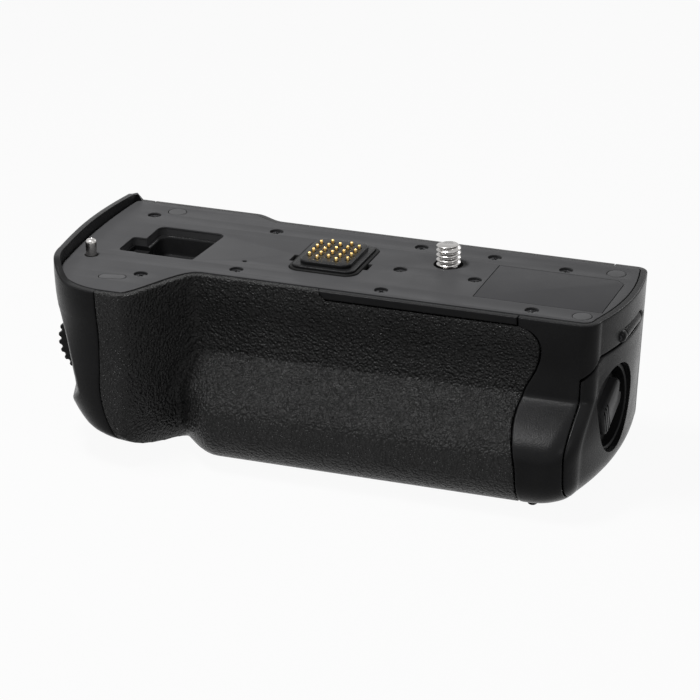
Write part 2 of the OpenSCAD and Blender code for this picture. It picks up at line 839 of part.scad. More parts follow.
module door_profile(gap, top_gap) {
    bend = gap * tan(door_bend / 2);
    bend_low = door_top + bend + (door_front - door_bend_y) * tan(door_bend);
    polygon([[door_rear + gap, door_top + top_gap], [door_bend_y - bend, door_top + top_gap],
        [door_front - gap, bend_low], [door_front - gap, -body_h], [door_rear + gap, -body_h]]);
}

module right_end_shell() {
    color(black_plastic)
        difference() {
            union() {
                panel(right_grid, 0, shell_t);
                for (y = [knuckle_front, barrel_rear + recess_gap])
                    hinge_bore(barrel_r, y, knuckle_l);
            }
            along_x(door_edge_x - door_gap, right_rear + right_bow + over)
                door_profile(door_gap, hinge_gap);
            block([mouth_x, barrel_front - recess_gap, door_top - over],
                [right_rear + right_bow + over, barrel_rear + recess_gap, recess_top]);
            hinge_bore(hinge_pin_r + touch_gap, knuckle_front - over, hinge_pin_span + 2 * over);
        }
}

module hinge_bore(r, start, span) {
    translate([hinge_x, start, hinge_z])
        rotate([-90, 0, 0])
            cylinder(r = r, h = span);
}

module left_end_shell() {
    left_clear = left_end - 2 * left_bow - over;
    color(black_plastic)
        difference() {
            panel(left_grid, 0, shell_t);
            block([left_clear, dial_y - dial_t / 2 - cheek_gap, dial_z - front_dial_r - button_gap],
                [dial_x, dial_y + dial_t / 2 + cheek_gap, dial_z + front_dial_r + button_gap]);
            on_left(shutter_y, shutter_z)
                translate([0, 0, -collar_len])
                    cylinder(r = shutter_collar_r + fit_gap, h = 2 * collar_len);
            for (z = left_button_heights)
                on_left(left_button_y, z)
                    translate([0, 0, -button_depth])
                        cylinder(r = small_button_r + button_gap, h = 2 * button_depth);
            block([left_clear, slider_y - slider_l / 2 - button_gap, slider_z - slider_h / 2 - button_gap],
                [slider_face + button_depth, slider_y + slider_l / 2 + slider_travel + button_gap,
                    slider_z + slider_h / 2 + button_gap]);
        }
}

module rear_shell() {
    color(black_plastic)
        difference() {
            panel(rear_grid, 0, shell_t);
            block([-wheel_slot_x, main_rear - 2 * shell_t, wheel_low - button_gap],
                [wheel_slot_x, main_rear + over, wheel_top + button_gap]);
            block([rear_dial_x - rear_dial_t / 2 - cheek_gap, rear_dial_y, rear_dial_z - rear_dial_r],
                [rear_dial_x + rear_dial_t / 2 + cheek_gap, main_rear + rear_step + over,
                    rear_dial_z + rear_dial_r]);
            on_rear(focus_x, focus_z)
                translate([0, 0, -button_depth])
                    cylinder(r = focus_button_r + button_gap, h = 2 * button_depth);
            on_rear(display_x, display_z)
                translate([0, 0, -button_depth])
                    cylinder(r = display_button_r + button_gap, h = 2 * button_depth);
            on_rear(stick_x, stick_z)
                translate([0, 0, -button_depth])
                    cylinder(r = stick_collar_r + stick_collar_wall + fit_gap, h = 2 * button_depth);
        }
}

module thumb_rubber() {
    xs = [for (i = [0:5]) mix(thumb_left, thumb_right, i / 5)];
    zs = [for (i = [0:5]) mix(thumb_top, thumb_low, i / 5)];
    color(black_rubber)
        panel([for (x = xs) [for (z = zs) [rear_station(x, z), z]]], -thumb_t, -touch_gap);
}

module base_cover() {
    color(black_plastic)
        difference() {
            translate([0, 0, -body_h])
                linear_extrude(base_t)
                    polygon([for (s = plan_stations) plan_at(s, panel_bottom, base_inset)]);
            translate([0, 0, -body_h - over])
                cylinder(r = socket_r + touch_gap, h = base_t + 2 * over);
            for (p = base_screw_places) {
                translate([p[0], p[1], -body_h - over])
                    cylinder(r = base_shank_r + fit_gap, h = base_t + 2 * over);
                translate([p[0], p[1], -body_h - over])
                    cylinder(r = base_head_r + fit_gap, h = over + screw_sink + base_head_t);
            }
        }
}

// Posts that stand on the base cover, up to a height, and the holes that its screws bite into
module base_posts(places, top) {
    for (p = places)
        translate([p[0], p[1], base_top])
            cylinder(r = base_post_r, h = top - base_top);
}

module base_pilots(places) {
    for (p = places)
        translate([p[0], p[1], -body_h])
            cylinder(r = base_shank_r + touch_gap, h = screw_sink + base_screw_len + fit_gap);
}

module base_screws() {
    color(dark_steel)
        for (p = base_screw_places)
            translate([p[0], p[1], screw_sink - body_h])
                mirror([0, 0, 1])
                    cross_screw(base_head_r, base_head_t, base_shank_r, base_screw_len);
}

module base_feet() {
    color(black_rubber)
        for (p = foot_places)
            translate([p[0], p[1], -body_h - foot_h]) {
                translate([0, 0, foot_h / 2])
                    cylinder(r = foot_r, h = foot_h / 2);
                cylinder(r1 = foot_r * foot_taper, r2 = foot_r, h = foot_h / 2);
            }
}

module tripod_socket() {
    color(steel)
        difference() {
            union() {
                translate([0, 0, -body_h])
                    cylinder(r = socket_r, h = socket_depth + socket_floor);
                translate([0, 0, base_top])
                    cylinder(r = socket_flange_r, h = socket_floor);
            }
            translate([0, 0, -body_h - over])
                cylinder(r = screw_r, h = socket_depth + over);
        }
}

// Mounting face
module plate_screws() {
    color(dark_steel)
        for (p = screw_places)
            translate([p[0], p[1], -screw_sink])
                cross_screw(screw_head_r, screw_head_t, screw_shank_r, screw_len);
}

module plate_pads() {
    color(pad_grey) {
        for (p = round_pad_places)
            translate([p[0], p[1], -pad_sink])
                cylinder(r = pad_r, h = pad_sink + pad_proud);
        translate([0, 0, -pad_sink])
            linear_extrude(pad_sink + pad_proud)
                long_pad_outline(0);
    }
}

module blank_plate() {
    color(plate_grey)
        translate([0, 0, -blank_sink])
            linear_extrude(blank_sink)
                blank_outline(0);
}

module locating_pin() {
    tip = locator_r / 2;
    color(steel)
        translate([locator_place[0], locator_place[1], 0]) {
            translate([0, 0, -plate_t - locator_flange_t])
                cylinder(r = locator_r + locator_flange_w, h = locator_flange_t);
            translate([0, 0, -plate_t - locator_flange_t / 2])
                cylinder(r = locator_foot_r, h = plate_t + locator_flange_t / 2);
            translate([0, 0, -touch_gap])
                cylinder(r = locator_r, h = locator_h - tip + touch_gap);
            translate([0, 0, locator_h - tip])
                cylinder(r1 = locator_r, r2 = locator_r - tip / 2, h = tip);
        }
}

module cap_pocket() {
    color(black_plastic)
        difference() {
            union() {
                block([notch_left - tub_t, pocket_front - tub_t, -pocket_depth - tub_t],
                    [pocket_right + tub_t, pocket_rear + tub_t, -plate_t]);
                base_posts(pocket_post_places, -pocket_depth - tub_t / 2);
            }
            base_pilots(pocket_post_places);
            translate([0, 0, -pocket_depth])
                linear_extrude(pocket_depth)
                    pocket_outline(pocket_ledge);
            translate([0, 0, -notch_depth])
                linear_extrude(notch_depth)
                    notch_outline(pocket_ledge / 2);
        }
}

module connector_housing() {
    color(black_plastic)
        difference() {
            translate([connector_x, connector_y, -block_foot]) {
                linear_extrude(block_foot + block_h)
                    rounded_rect(block_w, block_l, block_corner);
                linear_extrude(block_foot + bezel_h)
                    rounded_rect(bezel_w, bezel_l, block_corner);
                linear_extrude(block_foot - plate_t)
                    square([block_w, gasket_l + 2 * block_tab], center = true);
            }
            for (p = contact_places)
                translate([p[0], p[1], -block_foot - over])
                    cylinder(r = pin_r + pin_fit, h = block_foot + block_h + 2 * over);
        }
}

module connector_gasket() {
    color(black_rubber)
        translate([connector_x, connector_y, -plate_t])
            linear_extrude(plate_t + gasket_h)
                difference() {
                    rounded_rect(gasket_w, gasket_l, block_corner + 1);
                    rounded_rect(bezel_w + 2 * touch_gap, bezel_l + 2 * touch_gap, block_corner);
                }
}

module contact_pins() {
    color(gold)
        for (p = contact_places)
            translate([p[0], p[1], -contact_tail]) {
                cylinder(r = pin_r, h = contact_tail + block_h + contact_tip - pin_r / 2);
                translate([0, 0, contact_tail + block_h + contact_tip - pin_r / 2])
                    cylinder(r1 = pin_r, r2 = pin_r / 2, h = pin_r / 2);
            }
}

module connector_board() {
    color(board_green)
        translate([connector_x, connector_y, -block_foot - board_t])
            linear_extrude(board_t)
                square([bezel_w, bezel_l], center = true);
}

module main_board() {
    color(board_green)
        block([board_left, board_front, board_top - board_t], [board_right, board_rear, board_top]);
}

module board_posts() {
    color(steel)
        for (x = [board_left + board_edge, board_post_right])
            for (y = [board_front + board_edge, board_rear - board_edge])
                translate([x, y, board_top])
                    cylinder(r = post_r, h = -plate_t - board_top);
}

module mount_screw() {
    color(steel)
        difference() {
            union() {
                cylinder(r = screw_r, h = screw_h - thread_chamfer);
                translate([0, 0, collar_top - touch_gap])
                    cylinder(r = neck_r, h = touch_gap * 2 - collar_top);
                translate([0, 0, screw_h - thread_chamfer])
                    cylinder(r1 = screw_r, r2 = screw_r - thread_chamfer, h = thread_chamfer);
                translate([0, 0, collar_top - collar_t])
                    cylinder(r = collar_r, h = collar_t);
                translate([0, 0, wheel_low])
                    cylinder(r = spindle_r, h = collar_top - collar_t - wheel_low + touch_gap);
                translate([0, 0, spindle_low])
                    cylinder(r = journal_r, h = wheel_low - spindle_low + touch_gap);
            }
            translate([0, 0, clip_top - clip_t - touch_gap])
                difference() {
                    cylinder(r = journal_r + over, h = clip_t + 2 * touch_gap);
                    translate([0, 0, -over])
                        cylinder(r = clip_groove_r, h = clip_t + 2 * over);
                }
        }
}

module thumb_wheel() {
    color(dark_steel)
        translate([0, 0, wheel_low])
            difference() {
                toothed_disc(wheel_r, wheel_t, wheel_teeth, wheel_tooth);
                translate([0, 0, -over])
                    cylinder(r = spindle_r + touch_gap, h = wheel_t + 2 * over);
            }
}

module mount_clip() {
    color(steel)
        translate([0, 0, clip_top - clip_t])
            difference() {
                cylinder(r = clip_r, h = clip_t);
                translate([0, 0, -over])
                    cylinder(r = clip_groove_r + touch_gap, h = clip_t + 2 * over);
                block([0, -clip_groove_r / 2, -over], [2 * clip_r, clip_groove_r / 2, clip_t + over]);
            }
}

module mount_bracket() {
    color(steel)
        difference() {
            union() {
                block([-bracket_x, -bracket_y, bracket_low], [bracket_x, bracket_y, bracket_top]);
                for (x = [-post_x, post_x], y = [-post_y, post_y])
                    translate([x, y, bracket_low])
                        cylinder(r = post_r, h = -plate_t - bracket_low);
            }
            translate([0, 0, bracket_low - over])
                cylinder(r = bush_r + touch_gap, h = bracket_t + 2 * over);
        }
}

module mount_bush() {
    color(gold)
        difference() {
            translate([0, 0, bush_low])
                cylinder(r = bush_r, h = bush_t);
            translate([0, 0, bush_low - over])
                cylinder(r = journal_r + bush_gap, h = bush_t + 2 * over);
        }
}

// Battery, its chamber and its door
module battery_chamber() {
    color(black_plastic)
        difference() {
            union() {
                block([chamber_start, chamber_front, chamber_low], [mouth_x, chamber_rear, chamber_top]);
                base_posts(chamber_post_places, chamber_low + chamber_t / 2);
            }
            base_pilots(chamber_post_places);
            block([chamber_start + chamber_t, chamber_front + chamber_t, chamber_low + chamber_t],
                [mouth_x + over, chamber_rear - chamber_t, chamber_top - chamber_t]);
            blades(blade_slot / 2, chamber_t + over);
        }
}

// The row of terminal blades, grown by a clearance, from the block's face into the battery
module blades(gap, reach) {
    for (i = [0:blade_count - 1])
        translate([chamber_start - touch_gap, terminal_y + (i - (blade_count - 1) / 2) * blade_pitch, 0])
            block([0, -blade_t / 2 - gap, terminal_z - blade_h / 2 - gap],
                [reach + touch_gap, blade_t / 2 + gap, terminal_z + blade_h / 2 + gap]);
}

module battery_pack() {
    color(battery_grey)
        difference() {
            block([battery_start, battery_rear - battery_w, battery_top - battery_h],
                [battery_end, battery_rear, battery_top]);
            blades(blade_slot, chamber_t + battery_gap + blade_reach + over);
        }
}

module terminal_block() {
    color(black_plastic)
        block([chamber_start - terminal_t, terminal_y - terminal_w / 2, terminal_z - terminal_h / 2],
            [chamber_start, terminal_y + terminal_w / 2, terminal_z + terminal_h / 2]);
}

module terminal_blades() {
    color(gold)
        translate([touch_gap, 0, 0])
            blades(0, chamber_t + battery_gap + blade_reach);
}

module battery_door() {
    color(black_plastic)
        difference() {
            union() {
                intersection() {
                    panel(right_grid, 0, door_t);
                    along_x(door_edge_x, right_rear + right_bow + over)
                        door_profile(0, 0);
                }
                hinge_bore(barrel_r, barrel_front, barrel_rear - barrel_front);
                block([hinge_x - barrel_r, barrel_front, door_top - hinge_web],
                    [hinge_x + touch_gap, barrel_rear, hinge_z]);
            }
            hinge_bore(hinge_pin_r + axle_fit, knuckle_front, hinge_pin_span);
            translate([mouth_x, lock_y, lock_z])
                rotate([0, 90, 0])
                    cylinder(r = cup_r + cup_t + cup_hole_gap, h = right_front);
        }
}

module door_hinge_pin() {
    color(steel)
        hinge_bore(hinge_pin_r, knuckle_front + touch_gap, hinge_pin_span - 2 * touch_gap);
}

module on_lock(x) {
    translate([x, lock_y, lock_z])
        rotate([90, 0, 90])
            children();
}

module lock_cup() {
    deep = cup_floor - cup_floor_t;
    color(black_plastic)
        difference() {
            on_lock(deep)
                cylinder(r = cup_r + cup_t, h = right_front - deep + over);
            on_lock(cup_floor)
                cylinder(r = cup_r, h = right_front);
            on_lock(deep - over)
                cylinder(r = lock_shaft_r + lock_fit, h = right_front);
            translate([cup_rim, lock_y, lock_z])
                rotate([0, 0, -cup_slope])
                    block([0, -2 * cup_r, -2 * cup_r], [2 * cup_r, 2 * cup_r, 2 * cup_r]);
        }
}

module lock_knob() {
    color(black_plastic)
        on_lock(cup_floor + button_gap)
            rotate(knob_turn) {
                cylinder(r = knob_r, h = knob_base_t);
                intersection() {
                    cylinder(r = knob_r, h = knob_base_t + knob_wing_h);
                    block([-knob_r, -knob_wing_w / 2, 0],
                        [knob_r, knob_wing_w / 2, knob_base_t + knob_wing_h]);
                }
            }
}

module lock_crank() {
    color(steel) {
        on_lock(crank_low)
            cylinder(r = crank_r, h = crank_t);
        on_lock(crank_low)
            cylinder(r = lock_shaft_r, h = cup_floor + button_gap - crank_low);
        translate([0, -bolt_stroke / 2, bolt_stroke / 2])
            on_lock(bolt_face - touch_gap)
                cylinder(r = crank_pin_r, h = crank_low - bolt_face + crank_t / 2);
    }
}

module door_bolt() {
    slot = crank_pin_r + bolt_slot_gap;
    color(steel)
        difference() {
            block([bolt_face, bolt_front, lock_z - bolt_h / 2],
                [bolt_face + bolt_t, bolt_rear, lock_z + bolt_h / 2]);
            block([bolt_face - over, lock_y - bolt_stroke / 2 - slot, lock_z + bolt_stroke / 2 - slot],
                [bolt_face + bolt_t + over, lock_y - bolt_stroke / 2 + slot, lock_z + bolt_h]);
        }
}

module strike_plate() {
    color(steel)
        block([crank_low, door_rear + 2 * door_gap, lock_z - strike_h / 2],
            [crank_low + strike_t, strike_rear, lock_z + strike_h / 2]);
}

// Controls on the left end
module shutter_button() {
    color(black_plastic)
        on_left(shutter_y, shutter_z) {
            translate([0, 0, -shutter_depth])
                cylinder(r = shutter_r, h = shutter_depth + shutter_proud / 2);
            translate([0, 0, shutter_proud / 2])
                cylinder(r1 = shutter_r, r2 = shutter_r * button_crown, h = shutter_proud / 2);
            translate([0, 0, -shutter_depth - shutter_travel])
                cylinder(r = shutter_stem_r, h = shutter_travel + over);
        }
}

module shutter_collar() {
    color(steel)
        on_left(shutter_y, shutter_z)
            translate([0, 0, collar_proud - collar_len])
                difference() {
                    cylinder(r = shutter_collar_r, h = collar_len);
                    translate([0, 0, -over])
                        cylinder(r = shutter_r + collar_fit, h = collar_len + 2 * over);
                }
}

module shutter_board() {
    color(board_green)
        on_left(shutter_y, shutter_z)
            translate([0, 0, collar_proud - collar_len - board_t])
                linear_extrude(board_t)
                    square(2 * shutter_collar_r, center = true);
}

module front_dial() {
    color(black_plastic)
        translate([dial_x, dial_y + dial_t / 2, dial_z])
            rotate([90, 0, 0])
                difference() {
                    toothed_disc(front_dial_r, dial_t, front_dial_teeth, front_dial_tooth);
                    translate([0, 0, -over])
                        cylinder(r = axle_r + axle_fit, h = dial_t + 2 * over);
                }
}

module front_dial_axle() {
    span = dial_t + 2 * (cheek_gap + cheek_t);
    color(steel)
        translate([dial_x, dial_y + span / 2, dial_z])
            rotate([90, 0, 0])
                cylinder(r = axle_r, h = span);
}

// A forked hanger under the plate for a dial's axle: its cheeks stand either side of the dial along Y
module dial_hanger(t, z) {
    inner = t / 2 + cheek_gap;
    difference() {
        union() {
            for (side = [-inner - cheek_t, inner])
                block([-cheek_w / 2, side, z - cheek_w / 2], [cheek_w / 2, side + cheek_t, -plate_t]);
            block([-cheek_w / 2, -inner - cheek_t, -plate_t - cheek_t],
                [cheek_w / 2, inner + cheek_t, -plate_t]);
        }
        translate([0, inner + cheek_t + over, z])
            rotate([90, 0, 0])
                cylinder(r = axle_r + touch_gap, h = 2 * (inner + cheek_t + over));
    }
}

module front_dial_bracket() {
    color(steel)
        translate([dial_x, dial_y, 0])
            dial_hanger(dial_t, dial_z);
}

module press_button(r, depth) {
    translate([0, 0, -depth])
        cylinder(r = r, h = depth + button_proud);
    translate([0, 0, -shell_t - flange_gap - button_flange])
        cylinder(r = r + button_flange, h = button_flange);
}

module left_button(z) {
    color(black_plastic)
        on_left(left_button_y, z)
            press_button(small_button_r, button_depth);
}

module balance_button() {
    left_button(left_button_heights[0]);
}

module sensitivity_button() {
    left_button(left_button_heights[1]);
}

module exposure_button() {
    left_button(left_button_heights[2]);
}

module left_button_board() {
    spacer_heights = [left_button_heights[0] + left_board_edge - left_spacer_r,
        left_button_heights[2] - left_board_edge + left_spacer_r];
    middle = left_board_x + board_t / 2;
    color(board_green) {
        block([left_board_x, left_button_y - left_board_edge, left_button_heights[2] - left_board_edge],
            [left_board_x + board_t, left_button_y + left_board_edge,
                left_button_heights[0] + left_board_edge]);
        for (z = spacer_heights)
            translate([middle, left_button_y, z])
                rotate([0, -90, 0])
                    cylinder(r = left_spacer_r,
                        h = middle - left_face(left_button_y, z - left_spacer_r) - shell_t - fit_gap);
    }
}

module lock_slider() {
    plate_x = left_face(slider_y + slider_travel + slider_plate_l / 2, slider_z - slider_plate_h / 2)
        + shell_t + button_gap;
    color(black_plastic) {
        block([slider_face - slider_proud, slider_y - slider_l / 2, slider_z - slider_h / 2],
            [plate_x + slider_plate_t / 2, slider_y + slider_l / 2, slider_z + slider_h / 2]);
        block([plate_x, slider_y - slider_plate_l / 2, slider_z - slider_plate_h / 2],
            [plate_x + slider_plate_t, slider_y + slider_plate_l / 2, slider_z + slider_plate_h / 2]);
    }
}

// Controls on the rear
module rear_dial() {
    color(black_plastic)
        translate([rear_dial_x - rear_dial_t / 2, rear_dial_y, rear_dial_z])
            rotate([90, 0, 90])
                difference() {
                    toothed_disc(rear_dial_r, rear_dial_t, dial_teeth, dial_tooth);
                    translate([0, 0, -over])
                        cylinder(r = axle_r + axle_fit, h = rear_dial_t + 2 * over);
                }
}

module rear_dial_axle() {
    span = rear_dial_t + 2 * (cheek_gap + cheek_t);
    color(steel)
        translate([rear_dial_x - span / 2, rear_dial_y, rear_dial_z])
            rotate([90, 0, 90])
                cylinder(r = axle_r, h = span);
}

module rear_dial_bracket() {
    color(steel)
        difference() {
            translate([rear_dial_x, rear_dial_y, 0])
                rotate(90)
                    dial_hanger(rear_dial_t, rear_dial_z);
            translate([screw_places[0][0], screw_places[0][1], -screw_len - over])
                cylinder(r = screw_shank_r + fit_gap, h = screw_len + over);
        }
}

module focus_button() {
    color(black_plastic)
        on_rear(focus_x, focus_z)
            press_button(focus_button_r, rear_button_depth);
}

module display_button() {
    color(black_plastic)
        on_rear(display_x, display_z)
            press_button(display_button_r, rear_button_depth);
}

module joystick_cap() {
    color(black_rubber)
        on_rear(stick_x, stick_z) {
            translate([0, 0, stick_proud / 3])
                cylinder(r = stick_r, h = stick_proud / 3);
            translate([0, 0, stick_proud * 2 / 3])
                cylinder(r1 = stick_r, r2 = stick_r * button_crown, h = stick_proud / 3);
            translate([0, 0, -stick_pivot_depth])
                cylinder(r = stick_stem_r, h = stick_pivot_depth + stick_proud / 2);
        }
}

module joystick_gimbal() {
    color(steel)
        on_rear(stick_x, stick_z)
            translate([0, 0, -rear_board_depth + 2 * button_gap])
                cylinder(r = gimbal_r, h = rear_board_depth - stick_pivot_depth - 3 * button_gap);
}

module joystick_collar() {
    color(black_plastic)
        on_rear(stick_x, stick_z)
            translate([0, 0, -2 * shell_t])
                difference() {
                    cylinder(r = stick_collar_r + stick_collar_wall, h = 2 * shell_t + button_proud);
                    translate([0, 0, -over])
                        cylinder(r = stick_collar_r, h = 2 * shell_t + button_proud + 2 * over);
                }
}

module rear_button_board() {
    spacer_places = [[rear_board_left + spacer_r, stick_z - rear_board_edge + spacer_r],
        [rear_board_right - spacer_r, focus_z]];
    color(board_green) {
        block([rear_board_left, rear_board_y - board_t, stick_z - rear_board_edge],
            [rear_board_right, rear_board_y, focus_z + rear_board_edge]);
        for (p = spacer_places)
            let (top = -shell_t - fit_gap, foot = rear_board_y - board_t / 2 - rear_reach(p[0], p[1]))
                on_rear(p[0], p[1])
                    translate([0, 0, foot])
                        cylinder(r = spacer_r, h = top - foot);
    }
}

top_plate();
front_shell();
grip_rubber();
front_rim_strip();
right_end_shell();
left_end_shell();
rear_shell();
thumb_rubber();
base_cover();
base_screws();
base_feet();
tripod_socket();
plate_screws();
plate_pads();
blank_plate();
locating_pin();
cap_pocket();
connector_housing();
connector_gasket();
contact_pins();
connector_board();
main_board();
board_posts();
mount_screw();
thumb_wheel();
mount_clip();
mount_bracket();
mount_bush();
battery_chamber();
battery_pack();
terminal_block();
terminal_blades();
battery_door();
lock_cup();
lock_knob();
lock_crank();
door_bolt();
door_hinge_pin();
strike_plate();
shutter_button();
shutter_collar();
shutter_board();
front_dial();
front_dial_axle();
front_dial_bracket();
balance_button();
sensitivity_button();
exposure_button();
left_button_board();
lock_slider();
rear_dial();
rear_dial_axle();
rear_dial_bracket();
focus_button();
display_button();
joystick_cap();
joystick_gimbal();
joystick_collar();
rear_button_board();
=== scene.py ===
import math

import bmesh
import bpy
import numpy as np
from mathutils import Matrix, Vector
from mathutils.kdtree import KDTree


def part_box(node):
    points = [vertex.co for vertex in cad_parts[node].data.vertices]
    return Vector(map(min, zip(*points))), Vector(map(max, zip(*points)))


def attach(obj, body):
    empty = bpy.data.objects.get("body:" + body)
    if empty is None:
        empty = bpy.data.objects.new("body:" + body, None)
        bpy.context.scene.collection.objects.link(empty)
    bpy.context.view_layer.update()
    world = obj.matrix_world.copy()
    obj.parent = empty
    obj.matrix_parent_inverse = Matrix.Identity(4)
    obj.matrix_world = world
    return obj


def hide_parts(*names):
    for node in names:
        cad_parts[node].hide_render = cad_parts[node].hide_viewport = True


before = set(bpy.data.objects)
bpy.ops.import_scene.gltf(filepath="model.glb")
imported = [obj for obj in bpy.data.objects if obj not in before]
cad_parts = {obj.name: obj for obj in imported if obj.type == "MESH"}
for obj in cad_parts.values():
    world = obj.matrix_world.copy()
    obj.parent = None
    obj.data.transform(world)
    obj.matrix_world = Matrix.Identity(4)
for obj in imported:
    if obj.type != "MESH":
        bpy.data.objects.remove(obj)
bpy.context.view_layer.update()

MM = 0.001
PI = math.pi

# Casing form, in millimetres, as in the part's source
BODY_H = 46.5
RIGHT_FRONT, RIGHT_REAR, RIGHT_BOW, RIGHT_DRAFT = 47.6, 49.4, 2.4, 2.0
LEFT_REACH, LEFT_DRAFT, LEFT_BOW = 95.7, 2.6, 1.2
MAIN_FRONT, MAIN_REAR, REAR_STEP = 28.4, 15.4, 3.4
KNOB_FRONT, GRIP_FRONT = 48.2, 43.2
CREASE_DEPTH, SWELL_RISE, CREASE_SOFT = 20.5, 11.0, 0.08
WAIST_DEPTH, WAIST_TOP = 0.8, 3.0
FRONT_ROUND, KNOB_ROUND, LEFT_ROUND, RIGHT_ROUND, REAR_ROUND = 10.0, 8.0, 24.0, 8.0, 4.0
KNOB_FOOT_X, KNOB_BROW_X, GRIP_START_X, GRIP_FULL_X = -57.5, -71.5, -69.0, -49.0
REAR_STEP_X, REAR_STEP_RUN, REAR_DRAFT = -51.3, 8.2, 0.8
LEFT_CORNER, LEFT_CORNER_LOW, LEFT_REAR_CORNER = 19.0, 14.5, 3.5
RIGHT_REAR_CORNER, RIGHT_CORNER, GRIP_CORNER = 3.4, 4.5, 8.0
SWELL_FULL = (1 + math.sqrt(1 + 4 * CREASE_SOFT)) / 2
PANEL_BOTTOM = 1 - BODY_H
RIM_DROP, SHELL_T, RUBBER_T, SEAM_GAP, PLATE_T = 0.2, 1.7, 1.6, 0.3, 2.2
PLATE_INSET, BASE_INSET, BASE_T = 2.0, 3.0, 2.2
RUBBER_LEFT_X, STRIP_END_X, STRIP_END_RUN, RUBBER_STEP_Z, RUBBER_CORNER = -82.5, -26.0, 2.4, 2.6, 6.0
REAR_LEFT_X, REAR_RIGHT_X = -88.8, 40.0
SEAM_X, SEAM_LOW_X, SEAM_PINCH, PINCH_DROP, PINCH_RUN = 33.0, 31.4, 4.4, 1.3, 7.0
SCOOP_TOP, SCOOP_FULL, SCOOP_HOLD, SCOOP_LOW, SCOOP_POWER = -8.0, -26.0, -29.0, -37.0, 0.4
SCOOP_FRONT, SCOOP_FRONT_FULL, SCOOP_REAR, SCOOP_REAR_FULL = 1.8, 1.35, 1.88, 2.14
SCOOP_REAR_TOP, SCOOP_REAR_END = -12.0, -20.0


def clamp01(t):
    return np.clip(t, 0.0, 1.0)


def mix(a, b, t):
    return a + (b - a) * t


def ease(a, b, t):
    s = clamp01((t - a) / (b - a))
    return s * s * (3 - 2 * s)


def rounding(r, t):
    t = np.clip(t, 0.0, r)
    return r - np.sqrt(r * r - t * t)


def base_rounding(r, z):
    return rounding(r, r - BODY_H - z)


def swell(z):
    s = np.clip((-z - CREASE_DEPTH) / SWELL_RISE, 0.0, SWELL_FULL)
    return np.sin(PI / 2 * s * s / (s + CREASE_SOFT))


def waist(z):
    return WAIST_DEPTH * np.sin(PI * clamp01((-z - WAIST_TOP) / CREASE_DEPTH)) ** 2


def front_reach(x, z):
    knob = ease(KNOB_FOOT_X, KNOB_BROW_X, x)
    knob_step = (KNOB_FRONT - MAIN_FRONT) * knob
    grip_step = (GRIP_FRONT - MAIN_FRONT) * swell(z) * ease(GRIP_START_X, GRIP_FULL_X, x)
    step = np.cbrt(knob_step ** 3 + grip_step ** 3)
    return MAIN_FRONT - waist(z) + step - base_rounding(mix(FRONT_ROUND, KNOB_ROUND, knob), z)


def rear_reach(x, z):
    step = REAR_STEP * ease(REAR_STEP_X, REAR_STEP_X - REAR_STEP_RUN, x)
    return MAIN_REAR + step + REAR_DRAFT * z / BODY_H - base_rounding(REAR_ROUND, z)


def right_inset(z):
    return RIGHT_DRAFT * -z / BODY_H + base_rounding(RIGHT_ROUND, z)


def left_x(z):
    return -LEFT_REACH + LEFT_DRAFT * -z / BODY_H + base_rounding(LEFT_ROUND, z)


def front_corner(z):
    return mix(RIGHT_CORNER, GRIP_CORNER, swell(z))


def front_start(z):
    return RIGHT_FRONT - right_inset(z) - front_corner(z)


def left_bend(z):
    return mix(LEFT_CORNER, LEFT_CORNER_LOW, clamp01((LEFT_ROUND - BODY_H - z) / LEFT_ROUND))


def front_end(z):
    return left_x(z) + left_bend(z)


def bow(f):
    return 4 * f * (1 - f)


def hull(s, z):
    """Outer hull of the casing: stations 0 to 8 go round it from the front by the left end and the rear."""
    s, z = np.broadcast_arrays(np.asarray(s, float), np.asarray(z, float))
    w = np.mod(s, 8)
    k = np.minimum(np.floor(w).astype(int), 7)
    f = w - k
    d = np.minimum(z, 0.0)
    a = PI / 2 * f
    x0, x1, c, e = front_start(d), front_end(d), front_corner(d), left_bend(d)
    y0, y1 = c - front_reach(x0, d), e - front_reach(x1, d)
    xl, xr, xf = left_x(d), RIGHT_REAR - right_inset(d), RIGHT_FRONT - right_inset(d)
    yl = rear_reach(xl, d) - LEFT_REAR_CORNER
    yr = rear_reach(xr, d) - RIGHT_REAR_CORNER
    front_x = mix(x0, x1, f)
    rear_x = mix(xl + LEFT_REAR_CORNER, xr - RIGHT_REAR_CORNER, f)
    x = np.choose(k, [front_x, x1 - e * np.sin(a), xl - LEFT_BOW * bow(f),
                      xl + LEFT_REAR_CORNER * (1 - np.cos(a)), rear_x,
                      xr - RIGHT_REAR_CORNER * (1 - np.sin(a)), mix(xr, xf, f) + RIGHT_BOW * bow(f),
                      x0 + c * np.cos(a)])
    y = np.choose(k, [-front_reach(front_x, d), y1 - e * np.cos(a), mix(y1, yl, f),
                      yl + LEFT_REAR_CORNER * np.sin(a), rear_reach(rear_x, d),
                      yr + RIGHT_REAR_CORNER * np.cos(a), mix(yr, y0, f), y0 - c * np.sin(a)])
    return np.stack([x, y, z], -1)


def scoop_front(z):
    fall = clamp01((SCOOP_TOP - z) / (SCOOP_TOP - SCOOP_FULL)) ** SCOOP_POWER
    return mix(SCOOP_FRONT, SCOOP_FRONT_FULL, ease(SCOOP_LOW, SCOOP_HOLD, z) * fall)


def scoop_rear(z):
    depth = ease(SCOOP_LOW, SCOOP_HOLD, z) * ease(SCOOP_REAR_TOP, SCOOP_REAR_END, z)
    return mix(SCOOP_REAR, SCOOP_REAR_FULL, depth)


def skin(s, z):
    """Outer surface of the casing, with the finger scoop at the front dial taken off."""
    s, z = np.broadcast_arrays(np.asarray(s, float), np.asarray(z, float))
    a, b = scoop_front(z), scoop_rear(z)
    share = clamp01((s - a) / (b - a))[..., None]
    inside = ((z < SCOOP_TOP) & (z > SCOOP_LOW) & (s > a) & (s < b))[..., None]
    return np.where(inside, mix(hull(a, z), hull(b, z), share), hull(s, z))


